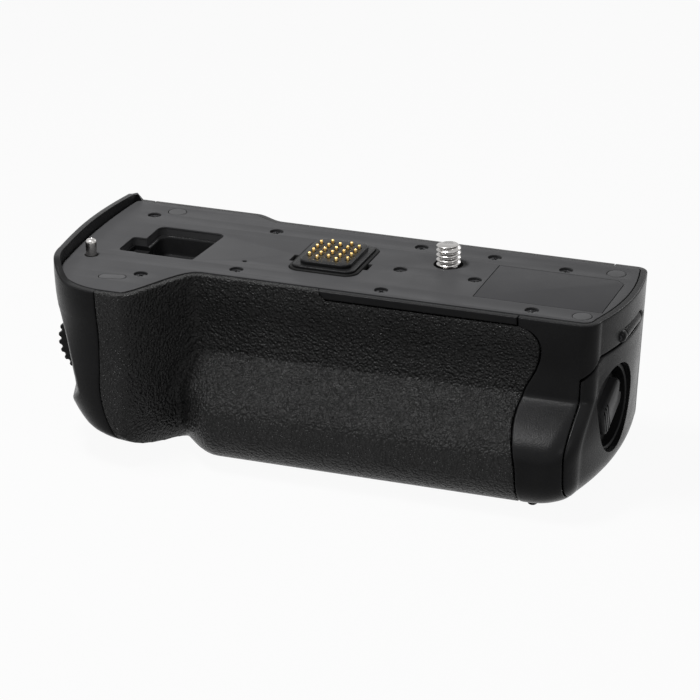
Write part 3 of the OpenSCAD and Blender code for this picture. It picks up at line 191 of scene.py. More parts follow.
def skin_normal(s, z):
    n = np.cross(skin(s + 0.004, z) - skin(s - 0.004, z), skin(s, z - 0.1) - skin(s, z + 0.1))
    return n / np.linalg.norm(n, axis=-1, keepdims=True)


def plan_loop(z, depth, steps=(150, 24, 20, 12, 90, 12, 26, 12)):
    """The casing's plan at a height, set in by a depth."""
    s = np.concatenate([k + np.arange(n) / n for k, n in enumerate(steps)])
    p = skin(s, z)
    t = skin(s + 0.004, z) - skin(s - 0.004, z)
    t /= np.linalg.norm(t, axis=-1, keepdims=True)
    return np.stack([p[:, 0] + depth * t[:, 1], p[:, 1] - depth * t[:, 0]], -1)


def front_station(x, z):
    return (front_start(z) - x) / (front_start(z) - front_end(z))


def rear_station(x, z):
    a = left_x(z) + LEFT_REAR_CORNER
    b = RIGHT_REAR - right_inset(z) - RIGHT_REAR_CORNER
    return 4 + (x - a) / (b - a)


def station_where(axis, value, z, low, high):
    """The station between low and high at which a coordinate that falls along the skin takes a value."""
    low, high = np.full(z.shape, float(low)), np.full(z.shape, float(high))
    for _ in range(44):
        mid = (low + high) / 2
        above = skin(mid, z)[..., axis] > value
        low, high = np.where(above, mid, low), np.where(above, high, mid)
    return (low + high) / 2


def seam_right(z):
    pinch = SEAM_PINCH * np.exp(-((z + CREASE_DEPTH + PINCH_DROP) / PINCH_RUN) ** 2)
    corner = rounding(RUBBER_CORNER, z + RUBBER_STEP_Z + RUBBER_CORNER)
    return mix(SEAM_X, SEAM_LOW_X, swell(z)) - pinch - corner


def rubber_top(x):
    return -mix(RIM_DROP, RUBBER_STEP_Z, ease(STRIP_END_X, STRIP_END_X + STRIP_END_RUN, x))


def left_face(y, z):
    e = left_bend(z)
    y1 = e - front_reach(front_end(z), z)
    yl = rear_reach(left_x(z), z) - LEFT_REAR_CORNER
    f = (y - y1) / (yl - y1)
    return float(front_end(z) - math.sqrt(e * e - (y1 - y) ** 2) if f < 0 else left_x(z) - LEFT_BOW * bow(f))


# Shapes: a list of points in millimetres and a list of faces
def merge(*shapes):
    points, faces, start = [], [], 0
    for v, f in shapes:
        points.append(v)
        faces += [tuple(i + start for i in face) for face in f]
        start += len(v)
    return np.concatenate(points), faces


def moved(shape, offset, axes=None):
    v = shape[0] if axes is None else shape[0] @ np.array(axes, float).T
    return v + np.array(offset, float), shape[1]


ON_LEFT = ((0, 0, -1), (0, 1, 0), (1, 0, 0))
ON_REAR = ((1, 0, 0), (0, 0, 1), (0, -1, 0))
ON_LOCK = ((0, 0, 1), (1, 0, 0), (0, 1, 0))
UPSIDE = ((1, 0, 0), (0, -1, 0), (0, 0, -1))


def turned(angle):
    c, s = math.cos(math.radians(angle)), math.sin(math.radians(angle))
    return ((c, -s, 0), (s, c, 0), (0, 0, 1))


def loft(rings, wrap=False):
    n = len(rings[0])
    v = np.concatenate(rings)
    faces = []
    pairs = [(i, i + 1) for i in range(len(rings) - 1)] + ([(len(rings) - 1, 0)] if wrap else [])
    for a, b in pairs:
        for j in range(n):
            k = (j + 1) % n
            faces.append((a * n + j, a * n + k, b * n + k, b * n + j))
    if not wrap:
        faces.append(tuple(range(n - 1, -1, -1)))
        faces.append(tuple(range((len(rings) - 1) * n, len(rings) * n)))
    return v, faces


def circle(r, z, n=48):
    a = np.arange(n) * 2 * PI / n
    return np.stack([r * np.cos(a), r * np.sin(a), np.full(n, float(z))], -1)


def lathe(profile, n=48, wrap=False):
    return loft([circle(max(r, 0.02), z, n) for r, z in profile], wrap)


def rrect(w, l, r, z, x=0.0, y=0.0, n=7):
    r = max(r, 0.05)
    a = np.arange(n) * PI / 2 / (n - 1)
    rings = []
    for i, (sx, sy) in enumerate(((1, 1), (-1, 1), (-1, -1), (1, -1))):
        b = a + i * PI / 2
        rings.append(np.stack([x + sx * (w / 2 - r) + r * np.cos(b), y + sy * (l / 2 - r) + r * np.sin(b),
                               np.full(n, float(z))], -1))
    return np.concatenate(rings)


def rbar(w, l, r, levels, x=0.0, y=0.0):
    """A rounded rectangle lofted through levels of inset and height."""
    return loft([rrect(w - 2 * i, l - 2 * i, r - i, z, x, y) for i, z in levels])


def roll(bottom, top, r, n=4):
    """Inset and height of a solid with square foot and rounded top edge."""
    a = [PI / 2 * i / n for i in range(n + 1)]
    return [(0.0, bottom)] + [(r - r * math.cos(t), top - r + r * math.sin(t)) for t in a]


def disc(r, levels, n=48):
    return lathe([(r - i, z) for i, z in levels], n)


def block(low, high, r=0.0):
    """A box with rounded edges."""
    low, high = np.array(low, float), np.array(high, float)
    bm = bmesh.new()
    bmesh.ops.create_cube(bm, size=1.0)
    for vert in bm.verts:
        vert.co = Vector(low + (high - low) * (np.array(vert.co) + 0.5))
    if r:
        bmesh.ops.bevel(bm, geom=bm.edges[:], offset=r, segments=3, profile=0.5, affect="EDGES")
    bm.verts.index_update()
    shape = np.array([v.co for v in bm.verts]), [tuple(v.index for v in f.verts) for f in bm.faces]
    bm.free()
    return shape


def to_mesh(name, shape, scale=1.0):
    mesh = bpy.data.meshes.new(name)
    mesh.from_pydata((np.asarray(shape[0]) * scale).tolist(), [], shape[1])
    bm = bmesh.new()
    bm.from_mesh(mesh)
    bmesh.ops.recalc_face_normals(bm, faces=bm.faces[:])
    bm.to_mesh(mesh)
    bm.free()
    return mesh


def from_object(obj):
    graph = bpy.context.evaluated_depsgraph_get()
    graph.update()
    mesh = bpy.data.meshes.new_from_object(obj.evaluated_get(graph))
    points = np.array([v.co for v in mesh.vertices]).reshape(-1, 3)
    shape = points, [tuple(p.vertices) for p in mesh.polygons]
    bpy.data.meshes.remove(mesh)
    return shape


def boolean(shape, cutter, operation="DIFFERENCE"):
    a = bpy.data.objects.new("work_a", to_mesh("work_a", shape))
    b = bpy.data.objects.new("work_b", to_mesh("work_b", cutter))
    for o in (a, b):
        bpy.context.scene.collection.objects.link(o)
    step = a.modifiers.new("cut", "BOOLEAN")
    step.object, step.operation, step.solver = b, operation, "EXACT"
    result = from_object(a)
    for o in (a, b):
        data = o.data
        bpy.data.objects.remove(o)
        bpy.data.meshes.remove(data)
    return result


def flat_plate(outline, holes, low, high, edge=0.0):
    """A flat plate with holes and rolled edges, between two heights."""
    curve = bpy.data.curves.new("work_plate", "CURVE")
    curve.dimensions, curve.fill_mode = "2D", "BOTH"
    curve.extrude, curve.bevel_depth, curve.bevel_resolution = (high - low) / 2 - edge, edge, 2
    curve.offset = -edge
    for loop in [outline, *holes]:
        spline = curve.splines.new("POLY")
        spline.points.add(len(loop) - 1)
        flat = np.c_[np.asarray(loop)[:, :2], np.zeros(len(loop)), np.ones(len(loop))]
        spline.points.foreach_set("co", flat.ravel())
        spline.use_cyclic_u = True
    obj = bpy.data.objects.new("work_plate", curve)
    bpy.context.scene.collection.objects.link(obj)
    v, faces = from_object(obj)
    bpy.data.objects.remove(obj)
    bpy.data.curves.remove(curve)
    bm = bmesh.new()
    verts = [bm.verts.new(p) for p in v + (0, 0, (low + high) / 2)]
    for face in faces:
        if len(set(face)) > 2:
            try:
                bm.faces.new([verts[i] for i in face])
            except ValueError:
                continue
    bmesh.ops.remove_doubles(bm, verts=bm.verts[:], dist=0.0005)
    bm.verts.index_update()
    shape = np.array([p.co for p in bm.verts]), [tuple(p.index for p in f.verts) for f in bm.faces]
    bm.free()
    return shape


def panel(s, z, depth_in, edge, proud=0.0, keep=None):
    """A curved panel of the casing over a grid of stations and heights, with rolled edges."""
    p, n = skin(s, z), skin_normal(s, z)
    rows, cols = s.shape
    if keep is None:
        keep = np.ones((rows - 1, cols - 1), bool)
    number = np.arange(rows * cols).reshape(rows, cols)
    count, cells = {}, []
    for i, j in zip(*np.nonzero(keep)):
        cell = (number[i, j], number[i, j + 1], number[i + 1, j + 1], number[i + 1, j])
        cells.append(cell)
        for q in range(4):
            key = (cell[q], cell[(q + 1) % 4])
            if (key[1], key[0]) in count:
                del count[(key[1], key[0])]
            else:
                count[key] = True
    flat_p, flat_n = p.reshape(-1, 3), n.reshape(-1, 3)
    rim = [mix(flat_p[a], flat_p[b], t) for a, b in count for t in (0, 0.25, 0.5, 0.75)]
    tree = KDTree(len(rim))
    for i, q in enumerate(rim):
        tree.insert(Vector(q), i)
    tree.balance()
    used = sorted({i for cell in cells for i in cell})
    index = {v: i for i, v in enumerate(used)}
    gap = np.array([tree.find(Vector(flat_p[i]))[2] for i in used])
    lift = np.clip(edge - gap, 0, edge)
    depth = edge - np.sqrt(np.maximum(edge * edge - lift * lift, 0)) - proud
    outer = flat_p[used] - flat_n[used] * depth[:, None]
    inner = flat_p[used] - flat_n[used] * depth_in
    m = len(used)
    faces = [tuple(index[i] for i in cell) for cell in cells]
    faces += [tuple(m + index[i] for i in reversed(cell)) for cell in cells]
    faces += [(index[b], index[a], m + index[a], m + index[b]) for a, b in count]
    return np.concatenate([outer, inner]), faces


def lines(length, step, edge, first=True, last=True):
    """Shares along a length, even inside and close together where an edge rolls over."""
    close = [edge * k for k in (0.0, 0.12, 0.38, 0.7, 1.05)]
    start = close if first else [0.0]
    end = [length - c for c in close][::-1] if last else [length]
    count = max(2, int(round((end[0] - start[-1]) / step)))
    middle = list(np.linspace(start[-1], end[0], count + 1))
    return np.array(start[:-1] + middle + end[1:]) / length


def height_lines(edge):
    """Row shares from the rim to the base, closest in the finger groove."""
    length = -RIM_DROP - PANEL_BOTTOM
    even = lines(length, 0.9, edge)
    groove = (np.arange(19.0, 33.0, 0.55) - RIM_DROP) / length
    outside = (even < groove[0] - 0.005) | (even > groove[-1] + 0.005)
    return np.unique(np.concatenate([even[outside], groove]))


# Materials
def node_material(name, colour, rough, metal=0.0, spread=0.15, grain=0.0, grain_size=0.5, rough_spread=0.08,
                  cells=0.0, cell_size=1.0, level=0.5, blotch=14.0):
    """Procedural finish: broad noise varies colour and roughness; grain and cells, in mm, make the bump, and
    the cells also paint the colour lighter on their tops and darker in their crevices as painted light and
    shade.
    """
    mat = bpy.data.materials.new(name)
    mat.use_nodes = True
    tree = mat.node_tree
    shader = tree.nodes["Principled BSDF"]
    shader.inputs["Metallic"].default_value = metal
    shader.inputs["Specular IOR Level"].default_value = level
    place = tree.nodes.new("ShaderNodeTexCoord").outputs["Object"]

    def noise(size, detail):
        node = tree.nodes.new("ShaderNodeTexNoise")
        node.inputs["Scale"].default_value = 1 / (size * MM)
        node.inputs["Detail"].default_value = detail
        tree.links.new(place, node.inputs["Vector"])
        return node.outputs["Fac"]

    broad = noise(blotch, 4.0)
    ramp = tree.nodes.new("ShaderNodeValToRGB")
    ramp.color_ramp.elements[0].position, ramp.color_ramp.elements[1].position = 0.3, 0.7
    for element, share in zip(ramp.color_ramp.elements, (1 - spread, 1 + spread)):
        element.color = (*(min(1.0, c * share) for c in colour), 1.0)
    tree.links.new(broad, ramp.inputs["Fac"])
    tint = ramp.outputs["Color"]
    wear = tree.nodes.new("ShaderNodeMapRange")
    wear.inputs["To Min"].default_value = max(0.02, rough - rough_spread)
    wear.inputs["To Max"].default_value = min(1.0, rough + rough_spread)
    tree.links.new(noise(blotch / 3, 5.0), wear.inputs["Value"])
    tree.links.new(wear.outputs["Result"], shader.inputs["Roughness"])
    normal = None
    if cells:
        cell = tree.nodes.new("ShaderNodeTexVoronoi")
        cell.feature = "SMOOTH_F1"
        cell.inputs["Scale"].default_value = 1 / (cell_size * MM)
        cell.inputs["Smoothness"].default_value = 0.6
        warp = tree.nodes.new("ShaderNodeVectorMath")
        warp.operation = "ADD"
        bend = tree.nodes.new("ShaderNodeTexNoise")
        bend.inputs["Scale"].default_value = 1 / (2.5 * MM)
        shift = tree.nodes.new("ShaderNodeVectorMath")
        shift.operation = "SCALE"
        shift.inputs["Scale"].default_value = 0.9 * MM
        tree.links.new(place, bend.inputs["Vector"])
        tree.links.new(bend.outputs["Color"], shift.inputs[0])
        tree.links.new(place, warp.inputs[0])
        tree.links.new(shift.outputs["Vector"], warp.inputs[1])
        tree.links.new(warp.outputs["Vector"], cell.inputs["Vector"])
        bump = tree.nodes.new("ShaderNodeBump")
        bump.invert = True
        bump.inputs["Strength"].default_value = 1.0
        bump.inputs["Distance"].default_value = cells * MM
        tree.links.new(cell.outputs["Distance"], bump.inputs["Height"])
        normal = bump
        # Painted light and shade: the colour is made lighter on the cell tops and darker in the crevices
        # between cells.
        shade = tree.nodes.new("ShaderNodeMapRange")
        shade.inputs["From Min"].default_value, shade.inputs["From Max"].default_value = 0.1, 0.6
        shade.inputs["To Min"].default_value, shade.inputs["To Max"].default_value = 1.3, 0.5
        tree.links.new(cell.outputs["Distance"], shade.inputs["Value"])
        painted_crevice_shade = tree.nodes.new("ShaderNodeVectorMath")
        painted_crevice_shade.operation = "SCALE"
        tree.links.new(tint, painted_crevice_shade.inputs[0])
        tree.links.new(shade.outputs["Result"], painted_crevice_shade.inputs["Scale"])
        tint = painted_crevice_shade.outputs["Vector"]
    if grain:
        bump = tree.nodes.new("ShaderNodeBump")
        bump.inputs["Strength"].default_value = 1.0
        bump.inputs["Distance"].default_value = grain * MM
        tree.links.new(noise(grain_size, 3.0), bump.inputs["Height"])
        if normal:
            tree.links.new(normal.outputs["Normal"], bump.inputs["Normal"])
        normal = bump
    if normal:
        tree.links.new(normal.outputs["Normal"], shader.inputs["Normal"])
    tree.links.new(tint, shader.inputs["Base Color"])
    return mat


CASING = node_material("moulded_casing", (0.013, 0.013, 0.0135), 0.27, grain=0.05, grain_size=0.35,
                       level=0.06)
BUTTON = node_material("button_plastic", (0.012, 0.012, 0.0125), 0.25, grain=0.02, grain_size=0.3, level=0.08)
RUBBER = node_material("pebbled_rubber", (0.025, 0.025, 0.025), 0.27, cells=0.6, cell_size=0.65, grain=0.3,
                       grain_size=0.4, level=0.14, spread=0.2)
KEY = node_material("key_plastic", (0.035, 0.035, 0.036), 0.32, grain=0.02, grain_size=0.3, level=0.06)
SEAL = node_material("seal_rubber", (0.012, 0.012, 0.012), 0.5, grain=0.03, grain_size=0.3, level=0.04)
PLATE = node_material("plate_metal", (0.066, 0.066, 0.068), 0.4, grain=0.02, grain_size=0.25,
                      level=0.015, spread=0.06)
LABEL = node_material("label_film", (0.048, 0.048, 0.05), 0.36, grain=0.01, grain_size=0.4,
                      spread=0.05, level=0.015)
PAD = node_material("pad_rubber", (0.085, 0.085, 0.087), 0.5, grain=0.02, grain_size=0.3, level=0.015)
STEEL = node_material("bright_steel", (0.4, 0.39, 0.38), 0.24, metal=1.0, spread=0.08, grain=0.008,
                      grain_size=0.3)
GREY_STEEL = node_material("grey_steel", (0.42, 0.42, 0.43), 0.32, metal=1.0, grain=0.01, grain_size=0.4)
SCREW = node_material("black_screw", (0.03, 0.03, 0.032), 0.3, metal=0.6, grain=0.01, grain_size=0.3)
GOLD = node_material("gold_contact", (0.83, 0.58, 0.22), 0.22, metal=1.0, grain=0.006, grain_size=0.2)
BOARD = node_material("circuit_board", (0.012, 0.075, 0.035), 0.4, grain=0.03, grain_size=1.2, spread=0.35,
                      blotch=3.0)
BATTERY = node_material("battery_wrap", (0.03, 0.031, 0.033), 0.4, grain=0.02, grain_size=0.5)


def piece(name, shape, look, body, *nodes, sharp=38.0, flat_area=4.0):
    """A finished piece: it takes a material, rides on a body and stands for CAD nodes."""
    mesh = to_mesh(name, shape, MM)
    areas = np.array([p.area for p in mesh.polygons]) / MM ** 2
    mesh.polygons.foreach_set("use_smooth", areas < flat_area)
    mesh.set_sharp_from_angle(angle=math.radians(sharp))
    mesh.materials.append(look)
    obj = bpy.data.objects.new(name, mesh)
    bpy.context.scene.collection.objects.link(obj)
    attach(obj, body)
    if nodes:
        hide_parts(*nodes)
    return obj


# Casing panels
def rubber_grid():
    u = lines(115.5, 1.0, 0.5)
    v = height_lines(0.5)
    u, v = np.meshgrid(u, v)
    x = mix(SEAM_X, RUBBER_LEFT_X, u)
    for _ in range(6):
        z = mix(rubber_top(x), PANEL_BOTTOM, v)
        x = mix(seam_right(z), RUBBER_LEFT_X, u)
    return front_station(x, z), z


s, z = rubber_grid()
piece("grip_rubber_skin", panel(s, z, RUBBER_T, 0.5), RUBBER, "grip", "grip_rubber", sharp=60)

u, v = np.meshgrid(lines(51.0, 1.0, 0.3), lines(2.1, 0.3, 0.3))
x = mix(float(seam_right(-RUBBER_STEP_Z)), STRIP_END_X + 0.75, u)
z = mix(-RIM_DROP, np.minimum(rubber_top(x) + SEAM_GAP, -RIM_DROP - 0.25), v)
piece("front_rim", panel(front_station(x, z), z, RUBBER_T, 0.3), CASING, "grip", "front_rim_strip", sharp=60)

DOOR_TOP, DOOR_REAR, DOOR_BEND_Y, DOOR_EDGE_X, DOOR_GAP, HINGE_GAP = -10.5, 10.1, -22.7, 43.6, 0.3, 0.6
DOOR_T, DOOR_FRONT = 2.2, -35.0


def door_edges(z, gap, top):
    """Stations of the door's rear and front edges at each height."""
    bend = gap * math.tan(PI / 8)
    low = DOOR_TOP + bend + DOOR_FRONT - DOOR_BEND_Y
    slope = (DOOR_BEND_Y - bend - DOOR_FRONT + gap) / (top - low)
    y = DOOR_BEND_Y - bend - slope * np.clip(top - z, 0, None)
    rear = station_where(1, DOOR_REAR + gap, z, 5.0, 7.5)
    front = np.minimum(station_where(1, y, z, 6.0, 8.0), station_where(0, DOOR_EDGE_X - gap, z, 7.0, 8.3))
    return rear, front


def right_shell():
    top = DOOR_TOP + HINGE_GAP
    rows = height_lines(0.4)
    heights = mix(-RIM_DROP, PANEL_BOTTOM, rows)
    close = top + np.array([0.0, 0.05, 0.15, 0.28, 0.42])
    heights = np.unique(np.concatenate([heights[abs(heights - top) > 0.5], close, [top - 0.45]]))[::-1]
    rear, front = door_edges(heights, DOOR_GAP, top)
    start = rear_station(REAR_RIGHT_X + SEAM_GAP, heights)
    end = 8 + front_station(seam_right(heights) + SEAM_GAP, heights)
    a, b, c = lines(13.0, 0.9, 0.4), lines(36.0, 1.1, 0.4), lines(22.0, 0.8, 0.4)
    s = np.concatenate([mix(start[:, None], rear[:, None], a), mix(rear[:, None], front[:, None], b)[:, 1:],
                        mix(front[:, None], end[:, None], c)[:, 1:]], 1)
    z = np.repeat(heights[:, None], s.shape[1], 1)
    keep = np.ones((s.shape[0] - 1, s.shape[1] - 1), bool)
    hole = heights[:-1] <= top + 1e-6
    keep[np.ix_(hole, np.arange(len(a) - 1, len(a) + len(b) - 2))] = False
    return panel(s, z, SHELL_T, 0.4, keep=keep)


HINGE_X, HINGE_Z, BARREL_R, BARREL_FRONT, BARREL_REAR = 49.4, -8.2, 1.6, -11.1, 1.6
KNUCKLE_FRONT, KNUCKLE_REAR, RECESS_GAP, RECESS_TOP = -14.0, 4.5, 0.3, -6.3


def barrel(low, high, round_low, round_high):
    """A hinge knuckle along Y, with ends rounded over by the given radii."""
    a = [PI / 2 * i / 5 for i in range(6)]
    first = [(BARREL_R - round_low + round_low * math.sin(t), low + round_low - round_low * math.cos(t))
             for t in a]
    last = [(BARREL_R - round_high + round_high * math.cos(t), high - round_high + round_high * math.sin(t))
            for t in a]
    return moved(lathe(first + last, 40), (HINGE_X, 0, HINGE_Z), ON_REAR)


recess = block((40, BARREL_FRONT - RECESS_GAP, DOOR_TOP - 1), (55, BARREL_REAR + RECESS_GAP, RECESS_TOP))
shell = boolean(right_shell(), recess)
shell = boolean(shell, barrel(KNUCKLE_FRONT, BARREL_FRONT - RECESS_GAP, 1.3, 0.2), "UNION")
shell = boolean(shell, barrel(BARREL_REAR + RECESS_GAP, KNUCKLE_REAR, 0.2, 1.3), "UNION")
piece("right_end", shell, CASING, "grip", "right_end_shell", sharp=50)

LOCK_Y, LOCK_Z, CUP_R, CUP_T, CUP_FLOOR, CUP_SLOPE = -14.0, -27.0, 10.4, 0.9, 44.6, 6.2


def door_panel():
    heights = mix(DOOR_TOP, PANEL_BOTTOM, lines(DOOR_TOP - PANEL_BOTTOM, 0.8, 0.4))
    rear, front = door_edges(heights, 0.0, DOOR_TOP)
    t = lines(45.0, 0.9, 0.4)
    s = mix(rear[:, None], front[:, None], t)
    z = np.repeat(heights[:, None], s.shape[1], 1)
    return panel(s, z, DOOR_T, 0.4)


opening = disc(CUP_R + CUP_T + 0.2, [(0, -8), (0, 20)], 96)
door = boolean(door_panel(), moved(opening, (CUP_FLOOR, LOCK_Y, LOCK_Z), ON_LOCK))
web = block((HINGE_X - BARREL_R, BARREL_FRONT, DOOR_TOP - 2), (HINGE_X + 0.02, BARREL_REAR, HINGE_Z))
door = boolean(boolean(door, web, "UNION"), barrel(BARREL_FRONT, BARREL_REAR, 0.2, 0.2), "UNION")
piece("battery_door_panel", door, CASING, "door", "battery_door", sharp=50)

cup = lathe([(2.05, -1.3), (CUP_R + CUP_T, -1.3), (CUP_R + CUP_T, 2.5), (CUP_R + CUP_T, 2.9),
             (CUP_R + CUP_T - 0.15, 3.1), (CUP_R + 0.3, 3.1), (CUP_R, 2.85), (CUP_R, 1.2),
             (CUP_R - 0.25, 0.5), (CUP_R - 0.8, 0.1), (CUP_R - 1.4, 0.0), (2.05, 0.0)], 96, wrap=True)
lift = np.clip((cup[0][:, 2] - 1.2) / 1.3, 0, 1)
cup[0][:, 2] += lift * cup[0][:, 0] * math.tan(math.radians(CUP_SLOPE))
piece("lock_pocket", moved(cup, (CUP_FLOOR, LOCK_Y, LOCK_Z), ON_LOCK), CASING, "door", "lock_cup", sharp=40)

KNOB_R, KNOB_TURN = 8.6, 20.0
knob = lathe([(KNOB_R - 0.3, 0.0), (KNOB_R, 0.25), (KNOB_R, 0.7), (KNOB_R - 0.25, 0.95), (KNOB_R - 0.6, 1.0),
              (0, 1.0)], 72)
wing = loft([rrect(16.4 - 2 * i, 8.6 - 2 * i, 2.8 - i, h) for i, h in
             [(0.0, 0.5), (0.25, 1.2), (0.3, 2.4), (0.4, 2.95), (0.62, 3.3), (1.0, 3.5)]])
knob = boolean(knob, wing, "UNION")
grooves = merge(*[moved(block((-0.3, -5, 3.05), (0.3, 5, 4.5)), (q, 0, 0)) for q in (-6.4, -5.0, -3.6)])
knob = boolean(knob, grooves)
knob = boolean(knob, moved(block((-1.7, -1.7, 1.1), (1.7, 1.7, 5)), (8.2, 0, 0), turned(45)))
knob = moved(knob, (0, 0, 0), turned(KNOB_TURN))
piece("lock_key_wing", moved(knob, (CUP_FLOOR + 0.3, LOCK_Y, LOCK_Z), ON_LOCK),
      KEY, "lock_key", "lock_knob", sharp=40)

# Left end
DIAL_Y, DIAL_Z, DIAL_R, DIAL_T, DIAL_PROUD = -31.0, -20.8, 10.0, 5.0, 0.8
DIAL_X = left_face(DIAL_Y, DIAL_Z) - DIAL_PROUD + DIAL_R
SHUTTER_Y, SHUTTER_Z, SHUTTER_R, COLLAR_R = -17.8, -20.5, 4.2, 5.2
BUTTON_Y, BUTTON_HEIGHTS, BUTTON_R = -6.0, (-10.0, -16.0, -22.0), 2.1
SLIDER_Y, SLIDER_Z = 3.5, -12.0


def lip_top(s):
    level = mix(-RIM_DROP, 3.3, ease(1.35, 1.75, s)) - 1.5 * ease(2.3, 3.4, s)
    return mix(level, -RIM_DROP, clamp01((s - 3.6) / 0.3))


def left_shell():
    base = height_lines(0.45)
    body = mix(-RIM_DROP, PANEL_BOTTOM, base)
    s0 = front_station(RUBBER_LEFT_X - SEAM_GAP, body)
    s1 = rear_station(REAR_LEFT_X - SEAM_GAP, body)
    a, b = scoop_front(body), scoop_rear(body)
    knots = np.stack([s0, a - 0.03, a + 0.03, b - 0.03, b + 0.03, np.full_like(s0, 3.0), s1], -1)
    runs = [lines(16.0, 0.7, 0.45, True, False), np.array([0, 1]), lines(16.0, 0.9, 0.45, False, False),
            np.array([0, 1]), lines(34.0, 0.9, 0.45, False, False), lines(13.0, 0.5, 0.45, False, True)]
    s = np.concatenate([mix(knots[:, k, None], knots[:, k + 1, None], run[min(k, 1):])
                        for k, run in enumerate(runs)], 1)
    z = np.repeat(body[:, None], s.shape[1], 1)
    lip = lip_top(s[0])
    fall = np.clip((z + 6.0) / (6.0 - RIM_DROP), 0, 1)
    z = z + (lip + RIM_DROP)[None, :] * fall
    return panel(s, z, SHELL_T, 0.45)


def left_place(shape, y, z):
    return moved(shape, (left_face(y, z), y, z), ON_LEFT)


shell = left_shell()
OUTSIDE_X = -105
cutters = [block((OUTSIDE_X, DIAL_Y - DIAL_T / 2 - 0.5, DIAL_Z - DIAL_R - 0.3),
                 (DIAL_X, DIAL_Y + DIAL_T / 2 + 0.5, DIAL_Z + DIAL_R + 0.3)),
           left_place(disc(COLLAR_R + 0.15, [(0, -7), (0, 7)]), SHUTTER_Y, SHUTTER_Z),
           block((OUTSIDE_X, SLIDER_Y - 1.8, SLIDER_Z - 1.5),
                 (left_face(SLIDER_Y, SLIDER_Z) + 5.2, SLIDER_Y + 5.3, SLIDER_Z + 1.5))]
cutters += [left_place(disc(BUTTON_R + 0.3, [(0, -5.2), (0, 5.2)], 40), BUTTON_Y, h) for h in BUTTON_HEIGHTS]
piece("left_end", boolean(shell, merge(*cutters)), CASING, "grip", "left_end_shell", sharp=50)


def ridged(r, t, teeth, depth, bore, per=8, chamfer=0.5):
    """A dial with rounded ridges round its rim."""
    a = np.arange(teeth * per) * 2 * PI / (teeth * per)
    wave = np.clip(0.5 + 0.85 * np.cos(teeth * a), 0, 1)
    rings = []
    for inset, h in [(r - bore, 0.0), (chamfer + depth, 0.0), (chamfer * 0.4, chamfer * 0.3), (0.0, chamfer),
                     (0.0, t - chamfer), (chamfer * 0.4, t - chamfer * 0.3), (chamfer + depth, t),
                     (r - bore, t)]:
        k = np.full_like(a, r - inset)
        if inset < chamfer + depth:
            k = k - depth * (1 - wave)
        rings.append(np.stack([k * np.cos(a), k * np.sin(a), np.full_like(a, h)], -1))
    return loft(rings, True)


dial = ridged(DIAL_R, DIAL_T, 27, 0.7, 1.05, 10)
dial = moved(dial, (DIAL_X, DIAL_Y + DIAL_T / 2, DIAL_Z), ((1, 0, 0), (0, 0, -1), (0, 1, 0)))
piece("front_dial_ridges", dial, BUTTON, "front_dial", "front_dial", sharp=45)

top = [(SHUTTER_R - 0.12, -3.6), (SHUTTER_R, -3.4), (SHUTTER_R, 0.3), (SHUTTER_R - 0.12, 0.62),
       (SHUTTER_R - 0.5, 0.9), (SHUTTER_R - 1.1, 1.0), (SHUTTER_R - 2.0, 0.88), (SHUTTER_R - 3.2, 0.75),
       (0, 0.7)]
stem = [(1.4, -4.8), (1.4, -3.3)]
piece("shutter_release", left_place(merge(lathe(top), lathe(stem, 24)), SHUTTER_Y, SHUTTER_Z), BUTTON,
      "shutter", "shutter_button", sharp=50)
collar = lathe([(SHUTTER_R + 0.1, -6.7), (COLLAR_R, -6.7), (COLLAR_R, 0.1), (COLLAR_R - 0.15, 0.27),
                (COLLAR_R - 0.4, 0.3), (SHUTTER_R + 0.35, 0.2), (SHUTTER_R + 0.1, -0.1)], 64, wrap=True)
piece("shutter_ring", left_place(collar, SHUTTER_Y, SHUTTER_Z), GREY_STEEL, "grip", "shutter_collar",
      sharp=40)


def press_button(r, depth, dish=0.0):
    """A round push button with a crowned or dished top and its inner flange."""
    crown = [(r - 0.1, -depth), (r, -depth + 0.1), (r, 0.35), (r - 0.1, 0.62), (r - 0.3, 0.8),
             (r - 0.6, 0.88), (r * 0.5, 0.9 - dish * 0.7), (0, 0.9 - dish)]
    flange = [(r - 0.2, -2.9), (r + 0.7, -2.9), (r + 0.7, -2.2), (r - 0.2, -2.2)]
    return merge(lathe(crown, 40), lathe(flange, 40, wrap=True))


for node, h in zip(("balance", "sensitivity", "exposure"), BUTTON_HEIGHTS):
    piece(node + "_key", left_place(press_button(BUTTON_R, 5.2), BUTTON_Y, h), BUTTON, node + "_button",
          node + "_button", sharp=50)

low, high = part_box("lock_slider")
face = left_face(SLIDER_Y, SLIDER_Z)
plate_x = high[0] / MM - 0.9
knob = block((face - 1.2, SLIDER_Y - 1.5, SLIDER_Z - 1.2),
             (plate_x + 0.45, SLIDER_Y + 1.5, SLIDER_Z + 1.2), 0.25)
grooves = merge(*[block((face - 2, SLIDER_Y + q - 0.16, SLIDER_Z - 2),
                        (face - 0.85, SLIDER_Y + q + 0.16, SLIDER_Z + 2)) for q in (-0.75, 0.0, 0.75)])
slide = block((plate_x, SLIDER_Y - 4, SLIDER_Z - 3), (plate_x + 0.9, SLIDER_Y + 4, SLIDER_Z + 3), 0.15)
piece("lock_slider_knob", merge(boolean(knob, grooves), slide), BUTTON, "lock_slider", "lock_slider",
      sharp=35)

# Rear
WHEEL_R, WHEEL_T, WHEEL_LOW = 17.4, 5.8, -9.32
REAR_DIAL_X, REAR_DIAL_Z, REAR_DIAL_R, REAR_DIAL_T = -84.0, -20.0, 8.0, 6.0
REAR_DIAL_Y = float(rear_reach(REAR_DIAL_X, REAR_DIAL_Z)) + 1.6 - REAR_DIAL_R
FOCUS, DISPLAY, STICK = (-70.0, -17.0), (-62.0, -24.0), (-70.0, -31.0)


def rear_place(shape, place):
    return moved(shape, (place[0], float(rear_reach(*place)), place[1]), ON_REAR)


